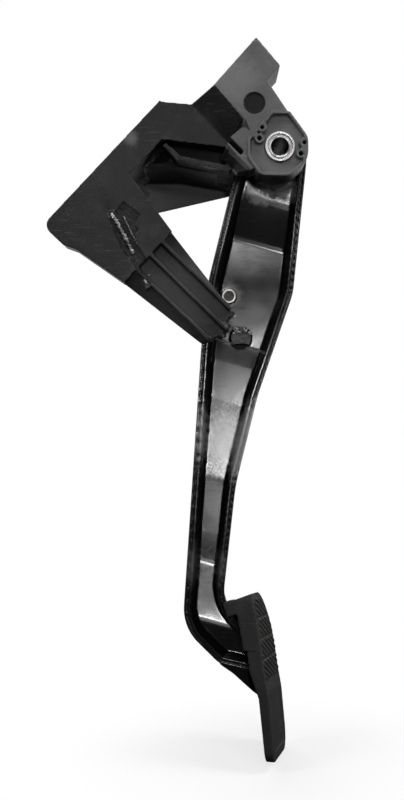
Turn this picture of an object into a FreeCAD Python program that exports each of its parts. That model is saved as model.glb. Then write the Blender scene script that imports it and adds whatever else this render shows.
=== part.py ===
# Hanging brake pedal of a car, with its moulded bracket, bolted to a sloping bulkhead.
# The frame: +Z up, +X to the rear of the car (the side of the foot), +Y from the open side of the
# channel to its closed side. The origin is the middle of the pivot axis, which runs along Y.
# "Near" is the -Y side and "far" the +Y side. All sizes are in millimetres.
import FreeCAD, Part
import math
import os

from FreeCAD import Vector

# Pivot: a steel tube for an M8 bolt, clamped between two collars, with the pedal hub turning on it
BOLT_BORE_R = 4.25
TUBE_R = 5.2
TUBE_NEAR_Y = -36.4
TUBE_FAR_Y = 32.5
RUNNING_GAP = 0.05
COLLAR_R = 7.1
COLLAR_LENGTH = 12.0
COLLAR_MOUTH_R = 6.1
COLLAR_MOUTH_DEPTH = 2.4
COLLAR_PROUD = 2.6
COLLAR_NOTCH_WIDTH = 2.2
COLLAR_NOTCH_DEPTH = 1.2
HUB_HALF_LENGTH = 15.0
HUB_R = 12.5
HUB_CLEAR = 1.2
BUSH_R = 7.4
BUSH_LENGTH = 12.0
BUSH_FLANGE_R = 9.6
BUSH_FLANGE = 1.2
WASHER = 0.8
SIDE_PLAY = 0.3
BOSS_FACE_Y = HUB_HALF_LENGTH + BUSH_FLANGE + SIDE_PLAY + WASHER

# Bracket walls
WALL = 3.0
RIB = 1.8
LIP_WALL = 2.4
CHEEK_Y = -26.0
HEAD_Y = -36.0
HEAD_BACK_Y = -9.0
NEAR_WALL_BACK_Y = -12.5
FAR_CHEEK_Y = 27.0

# Base of the bracket, which leans back with the bulkhead
BASE_TILT = 46.8
BASE_LENGTH = 84.2
BASE_MID_X = -87.1
BASE_MID_Z = -5.4
BASE_DEPTH = 14.0
BASE_FAR_Y = 56.0
BASE_CORNER_R = 8.0
BASE_END_RISE = 6.0
BASE_FLANGE = 8.0
BASE_POCKET_DEPTH = 5.0
BASE_FOOT_RISE = 2.7
BASE_FOOT_REACH = 6.3
BASE_WAIST = 5.6
ROD_Y = 17.0
ROD_HOLE_R = 15.0
STUD_CIRCLE = 76.4
STUD_HOLE_R = 4.3
SLEEVE_R = 6.0
NUT_SEAT_R = 8.6
GUSSET_PLACES = (-16.0, 14.2, 39.0)
GUSSET_RISE = 14.0

# Upper arm of the bracket, from the base to the pivot: a trough that is open at the top
PANEL_TOP = (-42.7, 23.3)
PANEL_TOP_INWARD = 0.9
WINDOW_TOP = (-24.0, 2.0)
RAMP_FOOT = [(-42.7, 23.3), (-24.3, 4.1)]
RAMP_HEAD = [(-32.1, 29.6), (-17.6, 14.5)]
LIP = [(-56.8, 2.7), (-49.3, -4.2), (-23.6, -9.5)]
TROUGH_FLOOR = [(-78.0, -5.0), (-49.3, -5.0), (-23.6, -9.5)]
TROUGH_WEB_Y = -14.0
TROUGH_END_X = -24.6
TROUGH_END_TOP = 3.0
TROUGH_RIB_X = -35.0
TROUGH_RIB_TOP = 17.0
SWING_R = 31.0
SWING_NEAR_Y = -12.1
SWING_FAR_Y = 17.2
FAR_EDGE = [
    (-60.4, -20.2, 20.0), (-22.3, -11.4, 6.0), (-5.0, -12.0), (0.0, 0.0), (-3.0, 14.0), (-20.0, 20.0),
]
FAR_EDGE_ALONG = -14.0
FAR_EDGE_INWARD = 3.0

# Lower arm of the bracket: a tapering channel of three ribs with a torn end
ARM_ROOT = [(-52.2, -39.1), (-76.0, -64.2)]
ARM_FLOOR_Y = -21.0
ARM_BACK_Y = -15.0
ARM_FLANK_Y = -18.0
ARM_RIBS = [
    [(-58.1, -44.3), (-23.9, -77.6)],
    [(-63.7, -50.6), (-25.2, -88.6)],
    [(-70.3, -58.2), (-34.6, -92.4)],
]

ARM_CREST_Y = -24.8
UPPER_FLANK = [(-57.4, -43.6), (-25.2, -75.9), (-24.3, -75.0), (-52.2, -39.1)]
LOWER_FLANK = [(-70.5, -57.2), (-34.2, -92.0), (-37.7, -93.9), (-76.7, -63.5)]
TORN_TIP = [
    (-20.8, -78.7), (-24.9, -82.6), (-23.2, -85.4), (-26.2, -87.9),
    (-25.4, -90.4), (-31.0, -90.9), (-33.6, -93.3),
]

# Torn places on the near cheek, where a rib was ripped off: patches of the skin gone, and ridges left
TORN_DEPTH = 0.7
TORN_PATCH = [
    (-83.1, -33.0), (-80.3, -28.9), (-76.1, -24.4), (-69.9, -28.9), (-67.6, -31.1), (-70.2, -36.4),
    (-68.7, -38.7), (-70.2, -41.0), (-69.7, -45.5), (-71.5, -51.0), (-74.5, -51.4), (-78.7, -43.6),
]
TORN_STRIP = [
    (-74.5, -50.4), (-69.7, -45.5), (-66.0, -50.8), (-61.9, -57.6),
    (-61.2, -64.2), (-66.6, -65.5), (-71.2, -58.0),
]
TORN_RIDGE_WIDTH = 1.8
TORN_RIDGE = [
    (-81.9, -30.3, -26.9), (-79.4, -34.4, -27.4), (-77.1, -38.3, -26.7),
    (-74.8, -42.6, -27.2), (-73.5, -45.5, -26.6), (-71.2, -49.8, -27.6),
]
TORN_THIN_RIDGE = [(-69.9, -44.9), (-72.2, -39.6), (-75.8, -32.1)]
TORN_CHIP = [(-66.8, -61.8), (-65.2, -61.4), (-62.6, -66.1), (-65.0, -67.6)]

# Head of the bracket, a hollow block that reaches up to the cowl
HEAD_OUTLINE = [
    (-32.1, 29.6), (-11.4, 52.9), (0.2, 39.2), (-6.0, 31.9), (3.6, 17.6), (3.0, 8.0), (-17.6, 14.5),
]
INSERT_R = 5.5
INSERT_BORE_R = 3.4
INSERT_LENGTH = 12.0
INSERT_BOSS_R = 8.2
HEAD_STRUT = [(-20.0, 9.0), (-17.0, 9.0), (-15.0, 19.0), (-18.0, 19.0)]
MARK_X = -12.3
MARK_Z = 21.1
MARK_R = 5.2
MARK_DEPTH = 0.8

# Bearing boss, with the seat of a position sensor round the pivot
BOSS_RIM_Y = -38.0
SEAT_Y = -34.5
SEAT_WALL = 1.4
SEAT_OUTLINE = [
    (-4.0, 16.8, 1.5), (4.6, 16.8, 2.5), (13.5, 4.5, 6.0), (13.5, -6.5, 9.0),
    (5.0, -14.6, 8.0), (-9.5, -14.0, 4.0), (-15.8, -5.5, 6.0), (-15.8, 3.2, 2.0),
]
NECK_OUTLINE = [
    (-17.6, 14.5), (3.0, 16.0), (0.0, 0.0), (-13.7, -11.1),
    (-22.9, -1.9), (-25.4, 1.6), (-23.6, 5.0), (-18.3, 9.4),
]
NECK_WEB = [(-24.6, 3.6), (-17.4, 15.0), (-14.5, 12.0), (-21.0, 3.0)]
NECK_WEB_NEAR_Y = -28.0
NECK_FACET_TOP = [(-25.4, 1.6), (-28.3, -2.9)]
NECK_FACET_FOOT = [(-13.7, -11.1), (-20.5, -10.1)]
SLOT_OUTLINE = [(-26.0, 3.0, 0.2), (-24.2, 4.8, 0.2), (-17.0, -2.4, 1.2), (-18.8, -4.2, 1.2)]
SENSOR_SCREW_CIRCLE = 21.2
SENSOR_SCREW_ANGLE = 160.0
SENSOR_SCREW_R = 1.15
SENSOR_PEGS = [(-8.6, 8.9), (11.6, 1.6)]
SENSOR_PEG_R = 1.0
SENSOR_HOLE_DEPTH = 9.0
EAR_R = 2.3
FAR_BOSS_R = 12.6
FAR_BOSS_Y = 31.0

# Rest stop between the bracket's bridge bar and the lug on the pedal hub
BRIDGE = [(-17.0, 18.0), (-11.4, 18.0), (-11.4, 27.0), (-17.0, 27.0)]
LUG_HALF_WIDTH = 5.0
LUG_FACE_X = -8.0
LUG_TOP_Z = 24.0
BUFFER_R = 4.2
BUFFER_STEM_R = 2.4
BUFFER_STEM = 4.0
BUFFER_GAP = 0.3
BUFFER_Z = 21.0

BUSH_CLEAR = 0.8

# Pedal arm: an open channel whose floor is cranked across the arm's own direction
ARM_LEAN = 15.6
RIM_Y = -10.0
FLANGE = 3.4
LEFT_RUN = 3.8
RIGHT_RUN = 2.2
FLOOR_STEPS = [(8.0, 4.6), (19.6, 2.4), (41.4, 8.4), (95.0, 8.8), (165.0, 5.0), (300.0, 4.0)]
FLOOR_WALL = 3.2
GROOVE_INSET = 1.1
GROOVE_WIDTH = 0.9
GROOVE_DEPTH = 0.7
ARM_RIGHT = [
    (16.4, 16.0, 15.0), (15.2, -4.0, 60.0), (8.6, -68.0, 30.0),
    (-9.2, -119.5, 60.0), (-20.4, -165.0, 90.0), (-27.2, -226.0, 22.0),
]
ARM_END = [(-4.0, -250.0, 0.0), (-4.0, -261.0, 0.0)]
ARM_LEFT = [
    (-17.0, 16.0, 15.0), (-20.6, -6.0, 60.0), (-34.2, -61.0, 60.0),
    (-38.0, -96.0, 90.0), (-47.4, -237.0, 24.0), (-28.9, -255.2, 8.0),
]
ARM_FOOT = [(-32.0, -250.0), (-28.0, -258.5), (-21.5, -263.0), (-6.0, -277.0), (2.0, -262.0), (-5.0, -246.0)]

# Push rod pin, riveted through the floor of the channel
PIN_X = -23.4
PIN_Z = -67.6
PIN_R = 3.6
PIN_HEAD_Y = 6.6
PIN_HEAD_BORE_R = 2.75
PIN_HEAD_DEPTH = 3.0
PIN_SHOULDER_R = 7.0
PIN_SHOULDER = 2.0
PIN_STUD = 15.0
PIN_BUSH_R = 6.0
PIN_BUSH_LENGTH = 10.0
PIN_BOSS_R = 9.0
PIN_BOSS_Y = 13.6

# Stub of a torn-off boss on the floor of the channel
STUB_X = -17.2
STUB_Z = -89.6
STUB_R = 5.3
STUB_HEIGHT = 2.6
STUB_PIT_R = 4.4
STUB_PIT_DROP = 3.0
STUB_SHARDS = [
    (-3.6, 3.4, 1.4, 2.2), (-1.2, 4.6, 1.9, 3.4), (1.2, 3.2, 1.2, 2.6),
    (3.4, 3.8, 1.1, 4.2), (4.6, 1.6, 1.0, 2.0),
]

# Pad: a plate on the end of the arm, and the rubber that wraps it, thinner below the arm
PAD_WIDTH = 50.0
PAD_YAW = 12.0
PAD_ROLL = 8.0
PAD_FRONT = [(-21.0, -226.4), (-8.4, -221.4), (-4.9, -240.9), (-2.3, -258.8), (0.4, -272.0), (4.0, -303.5)]
PAD_LAYERS = [(3.0, 2.8, 1.2)] * 4 + [(2.0, 1.9, 0.9), (1.8, 1.7, 0.8)]
PAD_TOP_Z = -221.0
PAD_BOTTOM_Z = -303.0
PAD_CORNERS = (4.0, 38.0, 12.0, 5.0)
RUBBER_SIDE = 2.4
LIP_WIDTH = 4.0
TREAD_HEIGHT = 0.8
TREAD_MARGIN = 3.4
TREAD_BANDS = 4
TREAD_BAND = 8.6
TREAD_GAP = 1.5
TREAD_RIB = 1.6
TREAD_PITCH = 3.0
TREAD_SLOPE = 18.0
TREAD_HALF_WIDTH = 21.6
DISH_HALF_WIDTH = 19.0
DISH_TOP_Z = -268.0
DISH_BOTTOM_Z = -299.0
DISH_DEPTH = 0.6


def rounded_wire(corners, y):
    """A closed wire at one depth through (x, z, radius) corners, with a tangent arc at each corner."""
    points = [Vector(c[0], y, c[1]) for c in corners]
    radii = [c[2] if len(c) > 2 else 0.0 for c in corners]
    edges = []
    starts, ends, middles = [], [], []
    count = len(points)
    for i in range(count):
        here = points[i]
        back = (points[i - 1] - here).normalize()
        on = (points[(i + 1) % count] - here).normalize()
        half = 0.5 * math.acos(max(-1.0, min(1.0, back.dot(on))))
        if radii[i] <= 0:
            starts.append(here)
            ends.append(here)
            middles.append(None)
            continue
        run = radii[i] / math.tan(half)
        centre = here + (back + on).normalize() * (radii[i] / math.sin(half))
        starts.append(here + back * run)
        ends.append(here + on * run)
        middles.append(centre + (here - centre).normalize() * radii[i])
    for i in range(count):
        if middles[i] is not None:
            edges.append(Part.Arc(starts[i], middles[i], ends[i]).toShape())
        after = starts[(i + 1) % count]
        if ends[i].distanceToPoint(after) > 1e-6:
            edges.append(Part.LineSegment(ends[i], after).toShape())
    return Part.Wire(edges)


def slab(corners, y_near, y_far):
    """A flat wall of the given outline, from one depth to another."""
    face = Part.Face(rounded_wire(corners, y_near))
    return face.extrude(Vector(0, y_far - y_near, 0))


def post(x, z, radius, y_near, y_far):
    """A round bar along Y."""
    return Part.makeCylinder(radius, y_far - y_near, Vector(x, y_near, z), Vector(0, 1, 0))


def beside(line, distance):
    """The line of (x, z) points moved sideways, to its left, with mitred corners."""
    moved = []
    for i, point in enumerate(line):
        sides = []
        for a, b in ((i - 1, i), (i, i + 1)):
            if a >= 0 and b < len(line):
                dx, dz = line[b][0] - line[a][0], line[b][1] - line[a][1]
                length = math.hypot(dx, dz)
                sides.append((-dz / length, dx / length))
        nx = sum(s[0] for s in sides) / len(sides)
        nz = sum(s[1] for s in sides) / len(sides)
        square = nx * nx + nz * nz
        moved.append((point[0] + nx * distance / square, point[1] + nz * distance / square))
    return moved


def band(line, thickness, y_near, y_far):
    """A wall that follows a line, with its thickness to the left of the line."""
    return slab(list(line) + beside(line, thickness)[::-1], y_near, y_far)


def block(sections):
    """A solid between two flat sections of the same number of corners, with flat faces all round."""
    near, far = [[Vector(*p) for p in s] for s in sections]
    faces = [Part.Face(Part.makePolygon(s + [s[0]])) for s in (near, far)]
    for i in range(len(near)):
        a, b, c, d = near[i - 1], near[i], far[i], far[i - 1]
        lift = (b - a).cross(d - a).dot(c - a)
        loops = [[a, b, c, d]] if abs(lift) < 1e-6 else [[a, b, d], [b, c, d]]
        faces += [Part.Face(Part.makePolygon(loop + [loop[0]])) for loop in loops]
    solid = Part.Solid(Part.Shell(faces))
    if solid.Volume < 0:
        solid.reverse()
    return solid


def joined(shapes):
    """One solid of several that touch or overlap, with the seams between them removed."""
    whole = shapes[0].fuse(shapes[1:]) if len(shapes) > 1 else shapes[0]
    return whole.removeSplitter()


def on_base(along, inward):
    """(x, z) of a point on the base: its distance up the base face, and into the car from it."""
    lean = math.radians(BASE_TILT)
    x = BASE_MID_X + along * math.cos(lean) + inward * math.sin(lean)
    z = BASE_MID_Z + along * math.sin(lean) - inward * math.cos(lean)
    return x, z


def base_post(along, y, radius, inward_from, inward_to):
    """A round bar square to the base."""
    x, z = on_base(along, inward_from)
    lean = math.radians(BASE_TILT)
    direction = Vector(math.sin(lean), 0, -math.cos(lean))
    return Part.makeCylinder(radius, inward_to - inward_from, Vector(x, y, z), direction)


def stud_places():
    """(distance up the base, y) of the four stud holes, on their circle."""
    half = STUD_CIRCLE / 2 / math.sqrt(2)
    return [(up * half, ROD_Y + side * half) for up in (-1, 1) for side in (-1, 1)]


def screw_places():
    """(x, z) of the two screw holes of the sensor, on a circle round the pivot."""
    places = []
    for turn in (0.0, 180.0):
        angle = math.radians(SENSOR_SCREW_ANGLE + turn)
        radius = SENSOR_SCREW_CIRCLE / 2
        places.append((radius * math.cos(angle), radius * math.sin(angle)))
    return places


def head_end():
    """Middle (x, z) of the head's end face and its outward direction."""
    (ax, az), (bx, bz) = HEAD_OUTLINE[1], HEAD_OUTLINE[2]
    length = math.hypot(bx - ax, bz - az)
    return ((ax + bx) / 2, (az + bz) / 2), (-(bz - az) / length, (bx - ax) / length)


def base_block():
    """The base: a flange on the bulkhead, thicker between the cheeks, with coring pockets in its face."""
    half = BASE_LENGTH / 2
    outline = [on_base(-half, 0) + (BASE_CORNER_R,), on_base(half, 0) + (2.0,),
               on_base(half, BASE_DEPTH), on_base(-half, BASE_DEPTH)]
    thick = slab(outline, CHEEK_Y, FAR_CHEEK_Y + WALL)
    outline = [on_base(-half, 0) + (4.0,), on_base(half, 0),
               on_base(half, BASE_FLANGE), on_base(-half, BASE_FLANGE)]
    thin = slab(outline, 0, BASE_FAR_Y)
    # the lower end rises towards the far side
    near = [on_base(-half - 20, -5), on_base(-half, -5), on_base(-half, 30), on_base(-half - 20, 30)]
    up = -half + BASE_END_RISE
    far = [on_base(up - 20, -5), on_base(up, -5), on_base(up, 30), on_base(up - 20, 30)]
    wedge = block([[(x, CHEEK_Y - 1, z) for x, z in near], [(x, BASE_FAR_Y + 1, z) for x, z in far]])
    base = thick.fuse(thin).cut(wedge)
    stud_half = STUD_CIRCLE / 2 / math.sqrt(2)
    cuts = []
    for side in (-1, 1):
        # a coring pocket above and below the rod hole, between the studs
        low, high = sorted((side * (ROD_HOLE_R + WALL), side * (half - WALL - 4)))
        corners = [on_base(low, -1), on_base(high, -1),
                   on_base(high, BASE_POCKET_DEPTH), on_base(low, BASE_POCKET_DEPTH)]
        cuts.append(slab(corners, ROD_Y - stud_half + SLEEVE_R + WALL, ROD_Y + stud_half - SLEEVE_R - WALL))
    for along, y in stud_places():
        cuts.append(base_post(along, y, SLEEVE_R, -1, BASE_DEPTH + 1))
    return base.cut(cuts)


def near_cheek():
    """The near side wall with its turned-in lower edge."""
    half = BASE_LENGTH / 2
    waist = on_base(BASE_WAIST, BASE_DEPTH)
    corner = on_base(-half + BASE_FOOT_RISE, BASE_DEPTH + BASE_FOOT_REACH)
    foot = [on_base(-half, BASE_DEPTH), corner, ARM_ROOT[1]]
    outline = foot + [ARM_ROOT[0], waist]
    outline += [on_base(half - BASE_DEPTH, BASE_DEPTH), on_base(half, 0), on_base(-half, 0) + (BASE_CORNER_R,)]
    wall = slab(outline, CHEEK_Y, CHEEK_Y + WALL)
    lip = band(foot, WALL, CHEEK_Y, NEAR_WALL_BACK_Y)
    root = band([ARM_ROOT[1], ARM_ROOT[0]], WALL, CHEEK_Y, NEAR_WALL_BACK_Y)
    edge = band([ARM_ROOT[0], waist], WALL, CHEEK_Y, NEAR_WALL_BACK_Y)
    return [wall, lip, root, edge]


def upper_arm():
    """The trough from the base to the pivot, with its open top, its near panel and its stiffening ribs."""
    half = BASE_LENGTH / 2
    start = on_base(half - BASE_DEPTH, BASE_DEPTH - 1)
    panel = [start, WINDOW_TOP, RAMP_FOOT[1], PANEL_TOP, on_base(half, PANEL_TOP_INWARD), on_base(half, 0)]
    pieces = [slab(panel, CHEEK_Y, CHEEK_Y + WALL)]
    # shelf under the near panel, the set-back web below it, and the floor of the trough
    pieces.append(band([start, WINDOW_TOP], LIP_WALL, CHEEK_Y, TROUGH_WEB_Y + RIB))
    pieces.append(slab([start, LIP[1], LIP[2], (LIP[2][0], WINDOW_TOP[1])], TROUGH_WEB_Y, TROUGH_WEB_Y + RIB))
    pieces.append(band(LIP, LIP_WALL, CHEEK_Y, TROUGH_WEB_Y + RIB))
    pieces.append(band(TROUGH_FLOOR, LIP_WALL, TROUGH_WEB_Y, FAR_CHEEK_Y + WALL))
    return pieces


def far_cheek():
    """The far side wall, from the base to the far boss."""
    half = BASE_LENGTH / 2
    outline = [on_base(half, FAR_EDGE_INWARD), on_base(FAR_EDGE_ALONG, BASE_DEPTH - 2)] + FAR_EDGE + [PANEL_TOP]
    cheek = slab(outline, FAR_CHEEK_Y, FAR_CHEEK_Y + WALL)
    boss = post(0, 0, FAR_BOSS_R, BOSS_FACE_Y, FAR_BOSS_Y)
    return [cheek, boss]


def bracket():
    """The whole bracket, one moulding."""
    half = BASE_LENGTH / 2
    pieces = [base_block()] + near_cheek() + upper_arm() + far_cheek()
    # the cross rib in the trough, and the wall that ends it beside the pedal hub
    for x, low, high, far_y in (
        (TROUGH_RIB_X, TROUGH_FLOOR[1][1] + 0.5, TROUGH_RIB_TOP, FAR_CHEEK_Y + 1),
        (TROUGH_END_X, LIP[2][1] + 0.9, TROUGH_END_TOP, SWING_NEAR_Y),
    ):
        near_y = CHEEK_Y + 1 if x == TROUGH_END_X else TROUGH_WEB_Y + 1
        pieces.append(slab([(x, low), (x + RIB, low), (x + RIB, high), (x, high)], near_y, far_y))
    swing = post(0, 0, SWING_R, SWING_NEAR_Y, SWING_FAR_Y)
    torn = [slab(outline, CHEEK_Y - 1, CHEEK_Y + TORN_DEPTH) for outline in (TORN_PATCH, TORN_STRIP)]
    pieces = [joined(pieces).cut([swing] + torn)] + lower_arm() + torn_rib() + head() + bearing_boss()
    # gussets that carry the part of the base beyond the far cheek
    for along in GUSSET_PLACES:
        sections = []
        for up in (along, along + RIB):
            foot, top = on_base(up, BASE_FLANGE - 1), on_base(up, BASE_FLANGE + GUSSET_RISE)
            sections.append([(foot[0], FAR_CHEEK_Y + 1, foot[1]), (foot[0], BASE_FAR_Y - 1, foot[1]),
                             (top[0], FAR_CHEEK_Y + 1, top[1])])
        pieces.append(block(sections))
    whole = joined(pieces)
    cuts = [base_post(0, ROD_Y, ROD_HOLE_R, -1, BASE_DEPTH + 6)]
    for along, y in stud_places():
        cuts.append(base_post(along, y, SLEEVE_R, -1, BASE_FLANGE + 1))
        cuts.append(base_post(along, y, NUT_SEAT_R, BASE_FLANGE, BASE_DEPTH + 2))
    cuts += pivot_cuts() + sensor_cuts() + head_cuts()
    return whole.cut(cuts).removeSplitter()


def lower_arm():
    """The tapering arm below the window: a floor, three ribs, and flanks that slope away from the outer ribs."""
    first, last = ARM_RIBS[0], ARM_RIBS[2]
    pieces = [slab([first[0], first[1]] + TORN_TIP + [last[1], last[0]], ARM_FLOOR_Y, ARM_BACK_Y)]
    for line in ARM_RIBS:
        pieces.append(band(line, RIB, CHEEK_Y, ARM_BACK_Y))
    for flank in (UPPER_FLANK, LOWER_FLANK):
        sections = []
        for (rx, rz), (ex, ez) in ((flank[0], flank[3]), (flank[1], flank[2])):
            sections.append([(rx, ARM_CREST_Y, rz), (rx, ARM_BACK_Y, rz),
                             (ex, ARM_BACK_Y, ez), (ex, ARM_FLANK_Y, ez)])
        pieces.append(block(sections))
    return pieces


def torn_rib():
    """What is left of a rib torn off the cheek: a jagged ridge, a thin one, and a chip on the last rib."""
    half = TORN_RIDGE_WIDTH / 2
    stations = []
    for x, z, top in TORN_RIDGE:
        stations.append([(x - half, CHEEK_Y + WALL / 2, z - half / 2), (x - half, top + 0.4, z - half / 2),
                         (x + half, top, z + half / 2), (x + half, CHEEK_Y + WALL / 2, z + half / 2)])
    pieces = [block([a, b]) for a, b in zip(stations, stations[1:])]
    pieces.append(band(TORN_THIN_RIDGE, 0.6, CHEEK_Y - 0.3, CHEEK_Y + WALL / 2))
    (ax, az), (bx, bz), (cx, cz), (dx, dz) = TORN_CHIP
    pieces.append(block([
        [(ax, ARM_FLOOR_Y - 1.0, az), (bx, ARM_FLOOR_Y - 1.0, bz), (bx, ARM_BACK_Y, bz), (ax, ARM_BACK_Y, az)],
        [(dx, CHEEK_Y, dz), (cx, CHEEK_Y, cz), (cx, ARM_BACK_Y, cz), (dx, ARM_BACK_Y, dz)],
    ]))
    return pieces


def head():
    """The raised head: the sloping ramp up to it, a hollow block, and the bar that bridges the trough."""
    (fx, fz), (gx, gz) = RAMP_FOOT
    (hx, hz), (ix, iz) = RAMP_HEAD
    ramp = block([
        [(fx, CHEEK_Y, fz), (hx, HEAD_Y, hz), (hx, HEAD_Y + 2 * WALL, hz), (fx, CHEEK_Y + WALL, fz)],
        [(gx, CHEEK_Y, gz), (ix, HEAD_Y, iz), (ix, HEAD_Y + 2 * WALL, iz), (gx, CHEEK_Y + WALL, gz)],
    ])
    shell = slab(HEAD_OUTLINE, HEAD_Y, HEAD_BACK_Y)
    inside = Part.Face(rounded_wire(HEAD_OUTLINE, HEAD_Y + WALL)).makeOffset2D(-WALL)
    swing = post(0, 0, SWING_R, SWING_NEAR_Y, SWING_FAR_Y)
    hub_room = post(0, 0, HUB_R + HUB_CLEAR, -BOSS_FACE_Y, SWING_FAR_Y)
    shell = shell.cut([inside.extrude(Vector(0, HEAD_BACK_Y - HEAD_Y, 0)), swing, hub_room])
    (mx, mz), (nx, nz) = head_end()
    middle_y = (HEAD_Y + HEAD_BACK_Y) / 2
    end = Vector(mx, middle_y, mz)
    insert_boss = Part.makeCylinder(INSERT_BOSS_R, INSERT_LENGTH + WALL, end, Vector(-nx, 0, -nz))
    bar = slab(BRIDGE, HEAD_Y + 1, FAR_CHEEK_Y + 1)
    strut = slab(HEAD_STRUT, FAR_CHEEK_Y, FAR_CHEEK_Y + WALL)
    return [ramp, shell, insert_boss, bar, strut]


def bearing_boss():
    """The near bearing boss with its sensor seat, and the neck that joins it to the head and the trough."""
    boss = slab(SEAT_OUTLINE, BOSS_RIM_Y, -BOSS_FACE_Y)
    neck = slab(NECK_OUTLINE, HEAD_Y, -BOSS_FACE_Y)
    web = slab(NECK_WEB, NECK_WEB_NEAR_Y, CHEEK_Y + 2 * WALL)
    facet = block([
        [(ax, HEAD_Y, az), (bx, CHEEK_Y, bz), (bx, -BOSS_FACE_Y, bz), (ax, -BOSS_FACE_Y, az)]
        for (ax, az), (bx, bz) in (NECK_FACET_TOP, NECK_FACET_FOOT)
    ])
    return [boss, neck, web, facet]


def pivot_cuts():
    """Bores of the two bosses, for the collars and the tube."""
    return [
        post(0, 0, COLLAR_R, SEAT_Y - COLLAR_PROUD - 2, SEAT_Y - COLLAR_PROUD + COLLAR_LENGTH),
        post(0, 0, TUBE_R + RUNNING_GAP, BOSS_RIM_Y - 1, FAR_BOSS_Y + 1),
        post(0, 0, COLLAR_R, FAR_BOSS_Y - COLLAR_LENGTH + COLLAR_PROUD, FAR_BOSS_Y + 1),
    ]


def sensor_cuts():
    """The seat's floor inside its rim, its ears left round the screw and peg holes, and the slot beside it."""
    seat_face = Part.Face(rounded_wire(SEAT_OUTLINE, BOSS_RIM_Y - 1)).makeOffset2D(-SEAT_WALL)
    seat = seat_face.extrude(Vector(0, SEAT_Y - BOSS_RIM_Y + 1, 0))
    places = screw_places() + SENSOR_PEGS
    seat = seat.cut([post(x, z, EAR_R, BOSS_RIM_Y - 2, SEAT_Y + 1) for x, z in places])
    holes = [post(x, z, SENSOR_SCREW_R, BOSS_RIM_Y - 1, BOSS_RIM_Y + SENSOR_HOLE_DEPTH) for x, z in screw_places()]
    holes += [post(x, z, SENSOR_PEG_R, BOSS_RIM_Y - 1, BOSS_RIM_Y + SENSOR_HOLE_DEPTH) for x, z in SENSOR_PEGS]
    return [seat, slab(SLOT_OUTLINE, HEAD_Y - 1, CHEEK_Y + 1)] + holes


def head_cuts():
    """The insert's hole in the head's end, and the round recess of the moulding mark."""
    (mx, mz), (nx, nz) = head_end()
    middle_y = (HEAD_Y + HEAD_BACK_Y) / 2
    hole = Part.makeCylinder(INSERT_R, INSERT_LENGTH + 1, Vector(mx + nx, middle_y, mz + nz), Vector(-nx, 0, -nz))
    mark = post(MARK_X, MARK_Z, MARK_R, HEAD_Y - 1, HEAD_Y + MARK_DEPTH)
    return [hole, mark]


def floor_block(extra, y_near):
    """Everything nearer than the channel's cranked floor, moved away by extra: a prism across the arm."""
    lean = math.radians(ARM_LEAN)
    along = Vector(-math.sin(lean), 0, -math.cos(lean))
    across = Vector(math.cos(lean), 0, -math.sin(lean))
    reach = 120.0
    start, end = FLOOR_STEPS[0], FLOOR_STEPS[-1]
    profile = [(start[0] - 60.0, y_near), (start[0] - 60.0, start[1] + extra)]
    profile += [(s, y + extra) for s, y in FLOOR_STEPS] + [(end[0], y_near)]
    points = [along * s + across * -reach + Vector(0, y, 0) for s, y in profile]
    return Part.Face(Part.makePolygon(points + [points[0]])).extrude(across * (2 * reach))


def inset_corners(corners, distances):
    """A clockwise outline moved inwards, each edge by its own distance, with the radii adjusted to match."""
    count = len(corners)
    lines = []
    for i in range(count):
        (ax, az), (bx, bz) = corners[i][:2], corners[(i + 1) % count][:2]
        length = math.hypot(bx - ax, bz - az)
        dx, dz = (bx - ax) / length, (bz - az) / length
        lines.append((ax + dz * distances[i], az - dx * distances[i], dx, dz))
    moved = []
    for i in range(count):
        px, pz, dx, dz = lines[i - 1]
        qx, qz, ex, ez = lines[i]
        turn = dx * ez - dz * ex
        run = ((qx - px) * ez - (qz - pz) * ex) / turn
        radius = corners[i][2]
        if radius > 0:
            shift = (distances[i - 1] + distances[i]) / 2
            radius = max(radius - shift, 0.5) if turn < 0 else radius + shift
        moved.append((px + dx * run, pz + dz * run, radius))
    return moved


def arm_outline(left=0.0, right=0.0):
    """The channel's outline, clockwise from the top, or its inside at a distance from each side."""
    corners = ARM_RIGHT + ARM_END + ARM_LEFT[::-1]
    distances = [right] * len(ARM_RIGHT) + [right] * len(ARM_END) + [left] * len(ARM_LEFT)
    return inset_corners(corners, distances) if left or right else corners


def pad_band(front, back):
    """The pad's bent section between two depths behind its face, as a closed (x, z) outline.
    A depth is a number of whole layers (int), or a distance in millimetres (float)."""
    lines = []
    for depth in (front, back):
        line = []
        for i, layers in enumerate(PAD_LAYERS):
            distance = sum(layers[:depth]) if isinstance(depth, int) else depth
            line.append(beside(PAD_FRONT, -distance)[i] if distance else PAD_FRONT[i])
        lines.append(line)
    return lines[0] + lines[1][::-1]


def pad_outline(inset):
    """The pad seen from the front: a block through the car with its four corners rounded."""
    half = PAD_WIDTH / 2 - inset
    top, bottom = PAD_TOP_Z - inset, PAD_BOTTOM_Z + inset
    radii = [max(r - inset, 0.6) for r in PAD_CORNERS]
    corners = [(-half, top), (half, top), (half, bottom), (-half, bottom)]
    wire = rounded_wire([(y, z, r) for (y, z), r in zip(corners, radii)], 0.0)
    face = Part.Face(wire)
    face.rotate(Vector(0, 0, 0), Vector(0, 0, 1), 90)
    face.translate(Vector(-60, 0, 0))
    return face.extrude(Vector(120, 0, 0))


def turned(shape):
    """A shape of the pad, turned towards the foot about the pad's middle."""
    middle = Vector(PAD_FRONT[-2][0], 0, (PAD_TOP_Z + PAD_BOTTOM_Z) / 2)
    shape.rotate(middle, Vector(1, 0, 0), -PAD_ROLL)
    shape.rotate(middle, Vector(0, 0, 1), -PAD_YAW)
    return shape


def plate_solid():
    """The plate inside the rubber, before it is turned."""
    half = PAD_WIDTH / 2
    return slab(pad_band(1, 2), -half, half).common(pad_outline(RUBBER_SIDE))


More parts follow.
